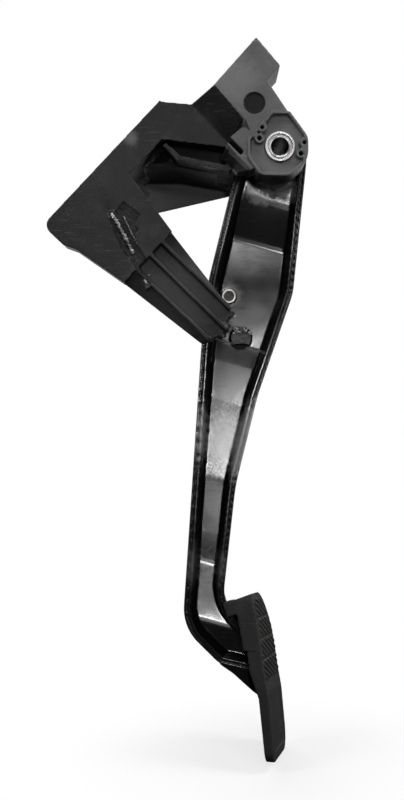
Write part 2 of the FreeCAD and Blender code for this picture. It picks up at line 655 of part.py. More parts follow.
def tread():
    """The tread's ribs: bands across the pad's upper half, each of slanting bars, and a rim below them."""
    half = TREAD_HALF_WIDTH
    skin = slab(pad_band(-TREAD_HEIGHT, 0.4), -PAD_WIDTH / 2, PAD_WIDTH / 2).common(pad_outline(TREAD_MARGIN))
    slope = math.tan(math.radians(TREAD_SLOPE))
    bars = []
    for i in range(TREAD_BANDS):
        top = PAD_TOP_Z - TREAD_MARGIN - i * (TREAD_BAND + TREAD_GAP)
        box = Part.makeBox(60, 2 * half, TREAD_BAND, Vector(-40, -half, top - TREAD_BAND))
        fall = 2 * half * slope
        z = top + fall
        strips = []
        while z > top - TREAD_BAND:
            corners = [Vector(-40, -half, z), Vector(-40, half, z - fall),
                       Vector(-40, half, z - fall - TREAD_RIB), Vector(-40, -half, z - TREAD_RIB)]
            strips.append(Part.Face(Part.makePolygon(corners + [corners[0]])).extrude(Vector(60, 0, 0)))
            z -= TREAD_PITCH
        bars.append(box.common(Part.makeCompound(strips)))
    return skin.common(Part.makeCompound(bars))


def brake_pad():
    """The rubber: front, sides and a lip behind the plate, with a ribbed tread on its upper half."""
    half = PAD_WIDTH / 2
    body = slab(pad_band(0, 3), -half, half).common(pad_outline(0.0)).fuse(tread().Solids)
    opening = slab(pad_band(2, sum(PAD_LAYERS[0]) + 1.0), -half, half).common(pad_outline(LIP_WIDTH))
    field = rounded_wire([(-DISH_HALF_WIDTH, DISH_TOP_Z, 6.0), (DISH_HALF_WIDTH, DISH_TOP_Z, 6.0),
                          (DISH_HALF_WIDTH, DISH_BOTTOM_Z, 6.0), (-DISH_HALF_WIDTH, DISH_BOTTOM_Z, 6.0)], 0.0)
    dish = Part.Face(field)
    dish.rotate(Vector(0, 0, 0), Vector(0, 0, 1), 90)
    dish = dish.extrude(Vector(60, 0, 0)).common(slab(pad_band(-2.0, DISH_DEPTH), -half, half))
    return turned(body.cut([plate_solid(), opening, dish]))


def torn_stub(floor_y):
    """The stub of a boss torn off the channel's floor, as the pieces to add and the pit to cut."""
    top_y = floor_y - STUB_HEIGHT
    pieces = [post(STUB_X, STUB_Z, STUB_R, top_y, floor_y + 1)]
    for dx, dz, width, rise in STUB_SHARDS:
        x, z = STUB_X + dx, STUB_Z + dz
        foot = [(x - width, top_y + 1, z - width), (x + width, top_y + 1, z - width / 2), (x, top_y + 1, z + width)]
        crest = [(x - 0.3, top_y - rise, z), (x + 0.3, top_y - rise, z), (x, top_y - rise, z + 0.5)]
        pieces.append(block([foot, crest]))
    lower = slab([(STUB_X - 9, STUB_Z - STUB_PIT_DROP), (STUB_X + 9, STUB_Z - STUB_PIT_DROP),
                  (STUB_X + 9, STUB_Z - 12), (STUB_X - 9, STUB_Z - 12)], top_y - 1, floor_y + 1.6)
    pit = post(STUB_X, STUB_Z - 1.2, STUB_PIT_R, top_y - 1, floor_y + 1.6).common(lower)
    return pieces, pit


def rim_groove():
    """The groove that runs round the channel's rim."""
    outer = slab(arm_outline(GROOVE_INSET, GROOVE_INSET), RIM_Y - 1, RIM_Y + GROOVE_DEPTH)
    inset = GROOVE_INSET + GROOVE_WIDTH
    return outer.cut(slab(arm_outline(inset, inset), RIM_Y - 2, RIM_Y + GROOVE_DEPTH + 1))


def pedal_arm():
    """The arm: channel, hub, rod boss, torn stub and the plate that carries the pad."""
    outer = slab(arm_outline(), RIM_Y, 40.0).common(floor_block(FLOOR_WALL, RIM_Y - 1))
    rim = rounded_wire(arm_outline(FLANGE, FLANGE), RIM_Y - 0.01)
    deep = rounded_wire(arm_outline(FLANGE + LEFT_RUN, FLANGE + RIGHT_RUN), 12.0)
    hollow = Part.makeLoft([rim, deep], True, True).common(floor_block(0.0, RIM_Y - 2))
    hub = post(0, 0, HUB_R, -HUB_HALF_LENGTH, HUB_HALF_LENGTH)
    boss = post(PIN_X, PIN_Z, PIN_BOSS_R, 8.0, PIN_BOSS_Y)
    lug = slab([(LUG_FACE_X, 8.0), (0.0, 8.0), (1.0, 16.0), (-2.0, LUG_TOP_Z, 1.5), (LUG_FACE_X, LUG_TOP_Z, 1.5)],
               -LUG_HALF_WIDTH, LUG_HALF_WIDTH)
    foot = slab(ARM_FOOT, FLOOR_STEPS[-2][1], FLOOR_STEPS[-1][1] + FLOOR_WALL)
    hollow = hollow.cut([post(0, 0, HUB_R, RIM_Y - 1, 40)])
    shell = joined([outer, hub, boss, lug]).cut(hollow)
    stub, pit = torn_stub(FLOOR_STEPS[3][1])
    shell = joined([shell, foot, turned(plate_solid())] + stub)
    # in front of the plate and its rubber there is no arm
    front = turned(slab(PAD_FRONT[1:] + [(40.0, PAD_BOTTOM_Z), (40.0, PAD_TOP_Z)], -60, 60))
    cuts = [front, pit, rim_groove(), post(0, 0, TUBE_R + BUSH_CLEAR, -HUB_HALF_LENGTH - 1, HUB_HALF_LENGTH + 1)]
    cuts.append(post(0, 0, BUSH_R, -HUB_HALF_LENGTH - 1, -HUB_HALF_LENGTH + BUSH_LENGTH))
    cuts.append(post(0, 0, BUSH_R, HUB_HALF_LENGTH - BUSH_LENGTH, HUB_HALF_LENGTH + 1))
    cuts.append(post(PIN_X, PIN_Z, PIN_R, 0, PIN_BOSS_Y + 1))
    return shell.cut(cuts).removeSplitter()


def pivot_tube():
    """The steel tube that the pivot bolt clamps."""
    tube = post(0, 0, TUBE_R, TUBE_NEAR_Y, TUBE_FAR_Y)
    return tube.cut(post(0, 0, BOLT_BORE_R, TUBE_NEAR_Y - 1, TUBE_FAR_Y + 1))


def collar(face_y, side):
    """A steel collar pressed in a boss, its mouth at face_y on the side -1 or +1."""
    back_y = face_y - side * COLLAR_LENGTH
    step_y = face_y - side * COLLAR_MOUTH_DEPTH
    ring = post(0, 0, COLLAR_R, min(face_y, back_y), max(face_y, back_y))
    mouth = post(0, 0, COLLAR_MOUTH_R, min(face_y + side, step_y), max(face_y + side, step_y))
    bore = post(0, 0, TUBE_R, min(face_y, back_y) - 1, max(face_y, back_y) + 1)
    deep_y = step_y - side * COLLAR_NOTCH_DEPTH
    notch = Part.makeBox(COLLAR_NOTCH_WIDTH, COLLAR_MOUTH_DEPTH + COLLAR_NOTCH_DEPTH, COLLAR_MOUTH_R,
                         Vector(-COLLAR_NOTCH_WIDTH / 2, min(face_y, deep_y), -COLLAR_MOUTH_R))
    return ring.cut([mouth, bore, notch])


def hub_bush(side):
    """A flanged bush in one end of the pedal hub."""
    end_y = side * HUB_HALF_LENGTH
    rim_y = side * (HUB_HALF_LENGTH + BUSH_FLANGE)
    back_y = side * (HUB_HALF_LENGTH - BUSH_LENGTH)
    sleeve = post(0, 0, BUSH_R, min(back_y, rim_y), max(back_y, rim_y))
    flange = post(0, 0, BUSH_FLANGE_R, min(end_y, rim_y), max(end_y, rim_y))
    bore = post(0, 0, TUBE_R + RUNNING_GAP, min(back_y, rim_y) - 1, max(back_y, rim_y) + 1)
    return sleeve.fuse(flange).cut(bore).removeSplitter()


def thrust_washer(side):
    """A washer against a boss face, beside the bush's flange."""
    face_y = side * BOSS_FACE_Y
    inner_y = side * (BOSS_FACE_Y - WASHER)
    disc = post(0, 0, BUSH_FLANGE_R, min(face_y, inner_y), max(face_y, inner_y))
    return disc.cut(post(0, 0, TUBE_R + RUNNING_GAP, min(face_y, inner_y) - 1, max(face_y, inner_y) + 1))


def rod_pin():
    """The push rod's pin: a hollow rivet end in the channel, a shoulder and a stud behind it."""
    end_y = PIN_BOSS_Y + PIN_SHOULDER + PIN_STUD
    pin = post(PIN_X, PIN_Z, PIN_R, PIN_HEAD_Y, end_y)
    shoulder = post(PIN_X, PIN_Z, PIN_SHOULDER_R, PIN_BOSS_Y, PIN_BOSS_Y + PIN_SHOULDER)
    recess = post(PIN_X, PIN_Z, PIN_HEAD_BORE_R, PIN_HEAD_Y - 1, PIN_HEAD_Y + PIN_HEAD_DEPTH)
    groove_y = end_y - 3.0
    groove = post(PIN_X, PIN_Z, PIN_R + 1, groove_y, groove_y + 1.1)
    groove = groove.cut(post(PIN_X, PIN_Z, PIN_R - 0.6, groove_y, groove_y + 1.1))
    return pin.fuse(shoulder).cut([recess, groove]).removeSplitter()


def rod_bush():
    """The bush on the stud, where the eye of the push rod sits."""
    start = PIN_BOSS_Y + PIN_SHOULDER
    bush = post(PIN_X, PIN_Z, PIN_BUSH_R, start, start + PIN_BUSH_LENGTH)
    return bush.cut(post(PIN_X, PIN_Z, PIN_R, start - 1, start + PIN_BUSH_LENGTH + 1))


def rest_buffer():
    """The rubber buffer in the bridge bar, which the hub's lug rests on."""
    bar_x = BRIDGE[1][0]
    tip = LUG_FACE_X - BUFFER_GAP
    disc = Part.makeCylinder(BUFFER_R, tip - bar_x, Vector(bar_x, 0, BUFFER_Z), Vector(1, 0, 0))
    stem = Part.makeCylinder(BUFFER_STEM_R, BUFFER_STEM, Vector(bar_x - BUFFER_STEM, 0, BUFFER_Z), Vector(1, 0, 0))
    return disc.fuse(stem).removeSplitter()


def bulkhead_sleeves():
    """The four steel sleeves that take the clamping of the bulkhead studs."""
    rings = []
    for along, y in stud_places():
        ring = base_post(along, y, SLEEVE_R, 0, BASE_FLANGE)
        rings.append(ring.cut(base_post(along, y, STUD_HOLE_R, -1, BASE_FLANGE + 1)))
    return Part.makeCompound(rings)


def head_insert():
    """The threaded insert in the head's end face."""
    (mx, mz), (nx, nz) = head_end()
    middle_y = (HEAD_Y + HEAD_BACK_Y) / 2
    inward = Vector(-nx, 0, -nz)
    body = Part.makeCylinder(INSERT_R, INSERT_LENGTH, Vector(mx, middle_y, mz), inward)
    start = Vector(mx + nx, middle_y, mz + nz)
    return body.cut(Part.makeCylinder(INSERT_BORE_R, INSERT_LENGTH + 2, start, inward))


if __name__ == "__main__":
    os.makedirs("parts", exist_ok=True)
    made = {
        "bracket": bracket(),
        "pedal_arm": pedal_arm(),
        "brake_pad": brake_pad(),
        "pivot_tube": pivot_tube(),
        "near_collar": collar(SEAT_Y - COLLAR_PROUD, -1),
        "far_collar": collar(FAR_BOSS_Y + COLLAR_PROUD, 1),
        "near_hub_bush": hub_bush(-1),
        "far_hub_bush": hub_bush(1),
        "near_thrust_washer": thrust_washer(-1),
        "far_thrust_washer": thrust_washer(1),
        "rod_pin": rod_pin(),
        "rod_bush": rod_bush(),
        "rest_buffer": rest_buffer(),
        "bulkhead_sleeves": bulkhead_sleeves(),
        "head_insert": head_insert(),
    }
    for name, shape in made.items():
        print(name, shape.ShapeType, len(shape.Solids), shape.isValid(), round(shape.Volume))
        shape.exportStep(os.path.join("parts", name + ".step"))
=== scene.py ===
# %% [markdown]
# # A broken brake pedal, dressed for its picture
# The pedal and its bracket come from the CAD model, already in place. This script adds what the
# CAD can't carry: mouldings that look like mouldings, torn plastic, worn rubber and turned steel.

# %% Load the frame
import math
import random

import bmesh
import bpy
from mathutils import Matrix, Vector, noise as field


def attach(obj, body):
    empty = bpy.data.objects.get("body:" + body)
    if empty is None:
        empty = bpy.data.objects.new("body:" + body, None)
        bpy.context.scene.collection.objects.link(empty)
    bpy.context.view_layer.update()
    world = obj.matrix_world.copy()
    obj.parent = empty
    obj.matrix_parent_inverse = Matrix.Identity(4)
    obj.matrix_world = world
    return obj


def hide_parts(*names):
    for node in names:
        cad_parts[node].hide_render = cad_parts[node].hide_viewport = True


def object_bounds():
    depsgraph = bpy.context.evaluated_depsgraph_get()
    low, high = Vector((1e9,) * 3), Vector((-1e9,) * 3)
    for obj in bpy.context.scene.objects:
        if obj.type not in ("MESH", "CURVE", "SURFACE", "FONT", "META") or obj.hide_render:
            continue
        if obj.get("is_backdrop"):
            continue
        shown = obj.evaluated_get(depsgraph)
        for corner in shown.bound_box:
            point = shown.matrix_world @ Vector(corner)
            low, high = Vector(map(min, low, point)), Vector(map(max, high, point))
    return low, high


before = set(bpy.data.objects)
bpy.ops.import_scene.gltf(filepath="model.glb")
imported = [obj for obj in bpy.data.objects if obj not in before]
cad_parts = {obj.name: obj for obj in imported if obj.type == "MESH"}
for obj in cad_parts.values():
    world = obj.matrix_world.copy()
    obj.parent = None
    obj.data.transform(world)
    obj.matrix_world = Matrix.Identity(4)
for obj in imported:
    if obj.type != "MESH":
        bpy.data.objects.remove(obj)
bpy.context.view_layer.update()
MM = 0.001
print("nodes:", sorted(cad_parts))

# %% [markdown]
# ## The camera
# The photograph was taken from about half a metre, so near parts look larger than far ones.
# A long lens would flatten that. The place and focal length below give the same perspective.

# %% Camera
FOCAL_PIXELS = 1047.6
PICTURE_PIXELS = 800
SENSOR_MM = 36.0
camera_data = bpy.data.cameras.new("camera")
camera_data.sensor_width = SENSOR_MM
camera_data.lens = FOCAL_PIXELS * SENSOR_MM / PICTURE_PIXELS
camera = bpy.data.objects.new("camera", camera_data)
camera.location = (-0.0375, -0.540, -0.1219)
camera.rotation_euler = (math.radians(90), 0, 0)
bpy.context.collection.objects.link(camera)
bpy.context.scene.camera = camera
bpy.context.scene.view_settings.view_transform = "Standard"
print("lens:", round(camera_data.lens, 2), "mm")

# %% [markdown]
# ## Building node trees in few words
# A node tree is easier to read when one line makes one node. These helpers add a node, set its
# options and link its inputs. A value that is a socket is linked, and any other value is set.


# %% Node helpers
def add(tree, kind, options=None, **inputs):
    node = tree.nodes.new(kind)
    for name, value in (options or {}).items():
        setattr(node, name, value)
    for name, value in inputs.items():
        by_number = name[0] == "n" and name[1:].isdigit()
        socket = node.inputs[int(name[1:]) if by_number else name.replace("_", " ")]
        if isinstance(value, bpy.types.NodeSocket):
            tree.links.new(value, socket)
        else:
            socket.default_value = value
    return node


def calc(tree, operation, a, b=0.0, clamp=False):
    return add(tree, "ShaderNodeMath", {"operation": operation, "use_clamp": clamp}, n0=a, n1=b).outputs[0]


def between(tree, value, low, high, start=0.0, end=1.0):
    options = {"interpolation_type": "SMOOTHSTEP"}
    limits = {"From_Min": low, "From_Max": high, "To_Min": start, "To_Max": end}
    return add(tree, "ShaderNodeMapRange", options, Value=value, **limits).outputs[0]


def cloud(tree, place, size, detail=3.0, rough=0.55, stretch=None):
    if stretch:
        place = add(tree, "ShaderNodeMapping", n0=place, n2=stretch[0], n3=stretch[1]).outputs[0]
    node = add(tree, "ShaderNodeTexNoise", Vector=place, Scale=1 / size, Detail=detail, Roughness=rough)
    return node.outputs["Fac"]


def blend(tree, mask, first, second):
    return add(tree, "ShaderNodeMix", {"data_type": "RGBA"}, n0=mask, n6=first, n7=second).outputs[2]


def group(name, inputs, outputs):
    tree = bpy.data.node_groups.new(name, "ShaderNodeTree")
    for title, kind, value in inputs:
        socket = tree.interface.new_socket(title, in_out="INPUT", socket_type="NodeSocket" + kind)
        if value is not None:
            socket.default_value = value
    for title, kind in outputs:
        tree.interface.new_socket(title, in_out="OUTPUT", socket_type="NodeSocket" + kind)
    return tree, tree.nodes.new("NodeGroupInput").outputs, tree.nodes.new("NodeGroupOutput").inputs


def place_group(tree, name, **inputs):
    return add(tree, "ShaderNodeGroup", {"node_tree": bpy.data.node_groups[name]}, **inputs).outputs


# %% [markdown]
# ## Soft edges and wear
# A moulding has small radii on all its edges, and hands and tools polish them first. The Bevel node rounds an
# edge in the shading only. Where its normal leaves the flat face's normal there is an edge, and that
# difference, broken up by noise, is the mask for wear and for painted highlights along the edges.

# %% Group: soft edges
tree, given, gives = group(
    "soft_edges",
    [("Place", "Vector", None), ("Radius", "Float", 0.0006)],
    [("Normal", "Vector"), ("Edge", "Float")],
)
rounded = add(tree, "ShaderNodeBevel", {"samples": 6}, Radius=given["Radius"]).outputs[0]
flat = add(tree, "ShaderNodeNewGeometry").outputs["True Normal"]
agree = add(tree, "ShaderNodeVectorMath", {"operation": "DOT_PRODUCT"}, n0=rounded, n1=flat).outputs["Value"]
edge = between(tree, calc(tree, "SUBTRACT", 1.0, agree), 0.01, 0.2)
patchy = between(tree, cloud(tree, given["Place"], 0.006, 3.0), 0.3, 0.55)
tree.links.new(rounded, gives["Normal"])
tree.links.new(calc(tree, "MULTIPLY", edge, patchy), gives["Edge"])

# %% [markdown]
# ## Grain
# Glass-filled nylon is dull and slightly pitted, because short fibres lie under its skin. Two
# sizes of noise make the pits, and a slow third one makes areas that are darker or shinier.

# %% Group: grain
tree, given, gives = group(
    "grain", [("Place", "Vector", None), ("Size", "Float", 0.0005)], [("Height", "Float"), ("Tone", "Float")]
)
scale = calc(tree, "DIVIDE", 1.0, given["Size"])
place = given["Place"]
fine = add(tree, "ShaderNodeTexNoise", Vector=place, Scale=scale, Detail=4.0, Roughness=0.7).outputs["Fac"]
pits = add(tree, "ShaderNodeTexVoronoi", Vector=place, Scale=scale).outputs["Distance"]
tree.links.new(calc(tree, "ADD", fine, calc(tree, "MULTIPLY", pits, 0.4)), gives["Height"])
slow = cloud(tree, place, 0.022, 5.0, 0.6)
tree.links.new(between(tree, slow, 0.3, 0.7), gives["Tone"])

# %% [markdown]
# ## Scratches
# A scratch is long and thin, so its noise is squeezed in one direction and stretched in another.
# Only the peaks are kept. Two directions crossing look like years of handling.

# %% Group: scratches
tree, given, gives = group(
    "scratches", [("Place", "Vector", None), ("Amount", "Float", 0.5)], [("Mask", "Float")]
)
lines = None
for turn, size in ((0.5, 0.011), (-0.9, 0.016), (1.9, 0.02)):
    fact = cloud(tree, given["Place"], size, 2.0, 0.5, ((0.3, turn, 0.2), (1.0, 1.0, 40.0)))
    line = between(tree, fact, 0.66, 0.72)
    lines = line if lines is None else calc(tree, "MAXIMUM", lines, line)
broken = between(tree, cloud(tree, given["Place"], 0.03, 2.0), 0.45, 0.6)
seen = calc(tree, "MULTIPLY", lines, broken)
tree.links.new(calc(tree, "MULTIPLY", seen, given["Amount"], True), gives["Mask"])

# %% [markdown]
# ## Dust
# Dust sits in specks and in soft clouds. Voronoi cells give the specks: only the middles of a
# few cells are near enough to count.

# %% Group: dust
tree, given, gives = group("dust", [("Place", "Vector", None), ("Amount", "Float", 0.5)], [("Mask", "Float")])
cells = add(tree, "ShaderNodeTexVoronoi", Vector=given["Place"], Scale=1 / 0.0028)
lot = add(tree, "ShaderNodeSeparateColor", Color=cells.outputs["Color"]).outputs[0]
chosen = between(tree, lot, 0.72, 0.78)
speck = calc(tree, "MULTIPLY", between(tree, cells.outputs["Distance"], 0.16, 0.08), chosen)
haze = between(tree, cloud(tree, given["Place"], 0.012, 6.0, 0.65), 0.45, 0.75, 0.0, 0.6)
both = calc(tree, "MAXIMUM", speck, haze)
tree.links.new(calc(tree, "MULTIPLY", both, given["Amount"], True), gives["Mask"])

# %% [markdown]
# ## A spot at a chosen place
# Some marks are in one place only: a painted highlight at a dent or on a glossy floor, painted light on a far
# face, a rubbed patch, plastic that turned pale beside a break. The CAD mesh lies in the object's own
# coordinates, so a distance to a point finds them.

# %% Group: spot
tree, given, gives = group(
    "spot",
    [("Place", "Vector", None), ("Centre", "Vector", (0, 0, 0)),
     ("Inner", "Float", 0.002), ("Outer", "Float", 0.006)],
    [("Mask", "Float")],
)
place = given["Place"]
measure = {"operation": "DISTANCE"}
far = add(tree, "ShaderNodeVectorMath", measure, n0=place, n1=given["Centre"]).outputs["Value"]
stray = calc(tree, "SUBTRACT", cloud(tree, place, 0.003, 4.0), 0.5)
far = calc(tree, "ADD", far, calc(tree, "MULTIPLY", stray, given["Outer"]))
tree.links.new(between(tree, far, given["Outer"], given["Inner"]), gives["Mask"])


# %% [markdown]
# ## One recipe for mouldings
# The bracket, the arm and the rubber share a recipe with different numbers: a dark colour that varies, grain
# in the bump, scratches and dust that are lighter and duller, edges made lighter by wear and by painted
# highlights, and spots at given places, some of them painted highlights and painted light.


# %% Moulded material
def moulded(
    name, colour, pale, rough, grain, bump, radius, scratched, dusty,
    spots=(), edge_wear_and_highlight=0.5, gloss=0.5, wavy=0.00004,
):
    material = bpy.data.materials.new(name)
    material.use_nodes = True
    tree = material.node_tree
    shader = tree.nodes["Principled BSDF"]
    place = add(tree, "ShaderNodeTexCoord").outputs["Object"]
    edges = place_group(tree, "soft_edges", Place=place, Radius=radius)
    skin = place_group(tree, "grain", Place=place, Size=grain)
    marks = place_group(tree, "scratches", Place=place, Amount=scratched)["Mask"]
    dust = place_group(tree, "dust", Place=place, Amount=dusty)["Mask"]
    dark = tuple(0.7 * c for c in colour[:3]) + (1.0,)
    surface = blend(tree, skin["Tone"], dark, colour)
    # edges turn pale: partly wear, partly painted highlights along the edges
    surface = blend(tree, calc(tree, "MULTIPLY", edges["Edge"], edge_wear_and_highlight), surface, pale)
    surface = blend(tree, calc(tree, "MAXIMUM", marks, dust), surface, pale)
    dull = calc(tree, "ADD", skin["Tone"], calc(tree, "MULTIPLY", dust, 2.0))
    dull = calc(tree, "ADD", calc(tree, "MULTIPLY", dull, rough[1] - rough[0]), rough[0])
    # spots at given places: some are painted highlights and painted light
    for centre, inner, outer, tint, strength, shift in spots:
        spot = place_group(tree, "spot", Place=place, Centre=centre, Inner=inner, Outer=outer)["Mask"]
        spot = calc(tree, "MULTIPLY", spot, strength)
        surface = blend(tree, spot, surface, tint)
        dull = calc(tree, "ADD", dull, calc(tree, "MULTIPLY", spot, shift))
    height = calc(tree, "SUBTRACT", skin["Height"], calc(tree, "MULTIPLY", marks, 0.6))
    swell = cloud(tree, place, 0.014, 1.5, 0.4)
    waves = add(tree, "ShaderNodeBump", Strength=1.0, Distance=wavy, Height=swell, Normal=edges["Normal"])
    relief = add(tree, "ShaderNodeBump", Strength=1.0, Distance=bump, Height=height, Normal=waves.outputs[0])
    for socket, value in (("Base Color", surface), ("Roughness", dull), ("Normal", relief.outputs[0])):
        tree.links.new(value, shader.inputs[socket])
    shader.inputs["Specular IOR Level"].default_value = gloss
    return material


def grey(level, warm=0.0):
    return (level * (1 + warm), level, level * (1 - warm), 1.0)


# %% [markdown]
# ## Bracket plastic
# Black nylon, matte. The near faces of the head and the bearing boss get a lighter copy of it, with rubbed
# patches. A spot paints a highlight at a dent on the cheek, and another paints light on the far cheek.

# %% Bracket plastic
# each spot: centre, inner and outer radius in metres, tint, strength, change of roughness
bracket_spots = (
    # painted highlight: a pale spot on the cheek where a dent catches the light
    ((-0.0723, -0.026, 0.0065), 0.0004, 0.0055, grey(0.20), 0.6, -0.1),
    ((-0.0235, -0.018, -0.0855), 0.002, 0.007, grey(0.10), 0.6, 0.1),
    # painted light: the far cheek, seen through the window, is made lighter
    ((-0.040, 0.045, -0.010), 0.035, 0.060, grey(0.07), 0.9, 0.05),
    ((-0.053, -0.019, -0.072), 0.010, 0.030, grey(0.06), 0.7, 0.05),
    ((-0.088, -0.026, -0.010), 0.006, 0.030, grey(0.03), 0.4, 0.0),
)
bracket_plastic = moulded(
    "bracket_plastic", grey(0.015, -0.02), grey(0.20), rough=(0.38, 0.5), grain=0.0006, bump=0.00012,
    radius=0.0005, scratched=0.3, dusty=0.16, spots=bracket_spots, edge_wear_and_highlight=0.9, gloss=0.22,
)
rubbed_spots = (
    ((-0.022, -0.036, 0.034), 0.003, 0.016, grey(0.20), 0.5, 0.0),
    ((0.0, -0.036, -0.004), 0.006, 0.015, grey(0.17), 0.6, 0.0),
)
# the near faces of the head and the bearing boss get a lighter copy of the bracket plastic
bracket_rubbed = moulded(
    "bracket_rubbed", grey(0.115, -0.01), grey(0.32), rough=(0.38, 0.5), grain=0.0006, bump=0.0001,
    radius=0.0005, scratched=0.6, dusty=0.3, spots=rubbed_spots, edge_wear_and_highlight=0.8, gloss=0.3,
)

# %% [markdown]
# ## Arm plastic
# The pedal arm is the same kind of nylon, but from a polished tool: it mirrors the lamps, and so
# its own colour is darker and its grain finer.

# %% Arm plastic
arm_spots = (
    # painted highlights: the first four spots lighten the glossy channel floor where it mirrors the lamps
    ((-0.022, -0.010, -0.141), 0.014, 0.025, grey(0.30), 0.75, 0.05),
    ((-0.036, -0.006, -0.206), 0.006, 0.015, grey(0.12), 0.6, 0.05),
    ((-0.007, 0.002, -0.0145), 0.004, 0.0085, grey(0.30), 0.8, 0.0),
    ((0.006, 0.002, -0.0125), 0.004, 0.0085, grey(0.30), 0.8, 0.0),
    ((-0.0234, 0.0088, -0.0676), 0.0045, 0.0085, grey(0.006), 0.8, 0.1),
)
arm_plastic = moulded(
    "arm_plastic", grey(0.004, -0.03), grey(0.24), rough=(0.11, 0.16), grain=0.0005, bump=0.000008,
    radius=0.0005, scratched=0.06, dusty=0.0, spots=arm_spots, edge_wear_and_highlight=0.3, gloss=0.45, wavy=0.00006,
)

# %% [markdown]
# ## Rubber
# Worn pad rubber is brownish and almost without gloss. Shoes polish the tops of its ribs.

# %% Rubber
pad_spots = (((-0.009, -0.02, -0.285), 0.015, 0.045, grey(0.004, 0.1), 0.7, 0.0),)
pad_rubber = moulded(
    "pad_rubber", grey(0.011, 0.06), grey(0.06, 0.05), rough=(0.6, 0.8), grain=0.0007, bump=0.00014,
    radius=0.0004, scratched=0.35, dusty=0.4, spots=pad_spots, gloss=0.35,
)

# %% [markdown]
# ## Torn plastic
# Where a rib or a boss was ripped off, the skin is gone. The floor of the tear is rough and drinks the light,
# and crests that were stretched before they broke are pale, with small shiny facets; the near white of the
# pale finish is also a painted glint.

# %% Torn plastic
torn_dark = moulded(
    "torn_dark", grey(0.007), grey(0.10), rough=(0.5, 0.8), grain=0.0008, bump=0.0004,
    radius=0.0002, scratched=0.2, dusty=0.25,
)
# this grey also paints the highlight line along the step in the arm's floor
torn_grey = moulded(
    "torn_grey", grey(0.13), grey(0.45), rough=(0.35, 0.6), grain=0.0009, bump=0.0005,
    radius=0.0002, scratched=0.3, dusty=0.3, edge_wear_and_highlight=0.6,
)
# painted glint: near white stands for glints on torn crests, as well as for pale stretched plastic
torn_pale = moulded(
    "torn_pale", grey(0.88), grey(0.95), rough=(0.2, 0.35), grain=0.0006, bump=0.0003,
    radius=0.0002, scratched=0.2, dusty=0.2, edge_wear_and_highlight=0.6,
)
# painted shade: a near-black, dull copy of the bracket plastic darkens the inside of the trough and the
# mark's recessed disc
bracket_inside = moulded(
    "bracket_inside", grey(0.006), grey(0.05), rough=(0.6, 0.8), grain=0.0006, bump=0.0001,
    radius=0.0004, scratched=0.1, dusty=0.2, edge_wear_and_highlight=0.4, gloss=0.25,
)
print("torn finishes:", torn_dark.name, torn_grey.name, torn_pale.name)


# %% [markdown]
# ## Metals
# The collars are turned, so their faces have rings round the pivot: a wave of the distance from
# the axis. The tube's bore is dark and brown with old grease. Zinc plating is softer and cloudy.

# %% Metal material
RING_STEP = 0.00022
OLD_GREASE = (0.022, 0.016, 0.010, 1.0)


def metal(name, colour, stain, rough, ring_centre=None, stained=0.5, radius=0.00035, bore=None):
    material = bpy.data.materials.new(name)
    material.use_nodes = True
    tree = material.node_tree
    shader = tree.nodes["Principled BSDF"]
    place = add(tree, "ShaderNodeTexCoord").outputs["Object"]
    edges = place_group(tree, "soft_edges", Place=place, Radius=radius)
    skin = place_group(tree, "grain", Place=place, Size=0.0004)
    marks = place_group(tree, "scratches", Place=place, Amount=0.6)["Mask"]
    film = calc(tree, "MULTIPLY", between(tree, cloud(tree, place, 0.003, 5.0, 0.65), 0.42, 0.7), stained)
    surface = blend(tree, film, colour, stain)
    height = calc(tree, "MULTIPLY", skin["Height"], 0.3)
    if ring_centre:
        parts = add(tree, "ShaderNodeSeparateXYZ", Vector=place).outputs
        x = calc(tree, "SUBTRACT", parts[0], ring_centre[0])
        z = calc(tree, "SUBTRACT", parts[2], ring_centre[1])
        squares = calc(tree, "ADD", calc(tree, "MULTIPLY", x, x), calc(tree, "MULTIPLY", z, z))
        out = calc(tree, "SQRT", squares)
        rings = calc(tree, "SINE", calc(tree, "MULTIPLY", out, 2 * math.pi / RING_STEP))
        height = calc(tree, "ADD", height, calc(tree, "MULTIPLY", rings, 0.25))
    dull = calc(tree, "ADD", calc(tree, "MULTIPLY", calc(tree, "ADD", film, marks), 0.22), rough)
    relief = add(
        tree, "ShaderNodeBump", Strength=1.0, Distance=0.00003, Height=height, Normal=edges["Normal"]
    )
    if bore:
        grease = between(tree, out, bore + 0.0001, bore - 0.0002)
        surface = blend(tree, grease, surface, OLD_GREASE)
        tree.links.new(calc(tree, "SUBTRACT", 1.0, grease), shader.inputs["Metallic"])
    else:
        shader.inputs["Metallic"].default_value = 1.0
    for socket, value in (("Base Color", surface), ("Roughness", dull), ("Normal", relief.outputs[0])):
        tree.links.new(value, shader.inputs[socket])
    return material


PIVOT_PLACE = (0.0, 0.0)
PIN_PLACE = (-0.0234, -0.0676)
collar_steel = metal(
    "collar_steel", grey(0.50), grey(0.42, 0.03), rough=0.34, ring_centre=PIVOT_PLACE, stained=0.4
)
tube_steel = metal(
    "tube_steel", grey(0.62), (0.10, 0.062, 0.045, 1.0),
    rough=0.38, ring_centre=PIVOT_PLACE, stained=0.75, bore=0.0045,
)
zinc_steel = metal(
    "zinc_steel", grey(0.62, 0.03), (0.30, 0.24, 0.16, 1.0),
    rough=0.34, ring_centre=PIN_PLACE, bore=0.0028,
)
insert_brass = metal("insert_brass", (0.72, 0.50, 0.22, 1.0), (0.30, 0.19, 0.09, 1.0), rough=0.34)

# %% [markdown]
# ## Bush plastic
# Bushes are acetal, grey and waxy, and soak up a little grease.

# %% Bush plastic
bush_plastic = moulded(
    "bush_plastic", grey(0.30, 0.03), grey(0.5, 0.02), rough=(0.35, 0.5), grain=0.0006, bump=0.00003,
    radius=0.0003, scratched=0.3, dusty=0.4, edge_wear_and_highlight=0.4,
)

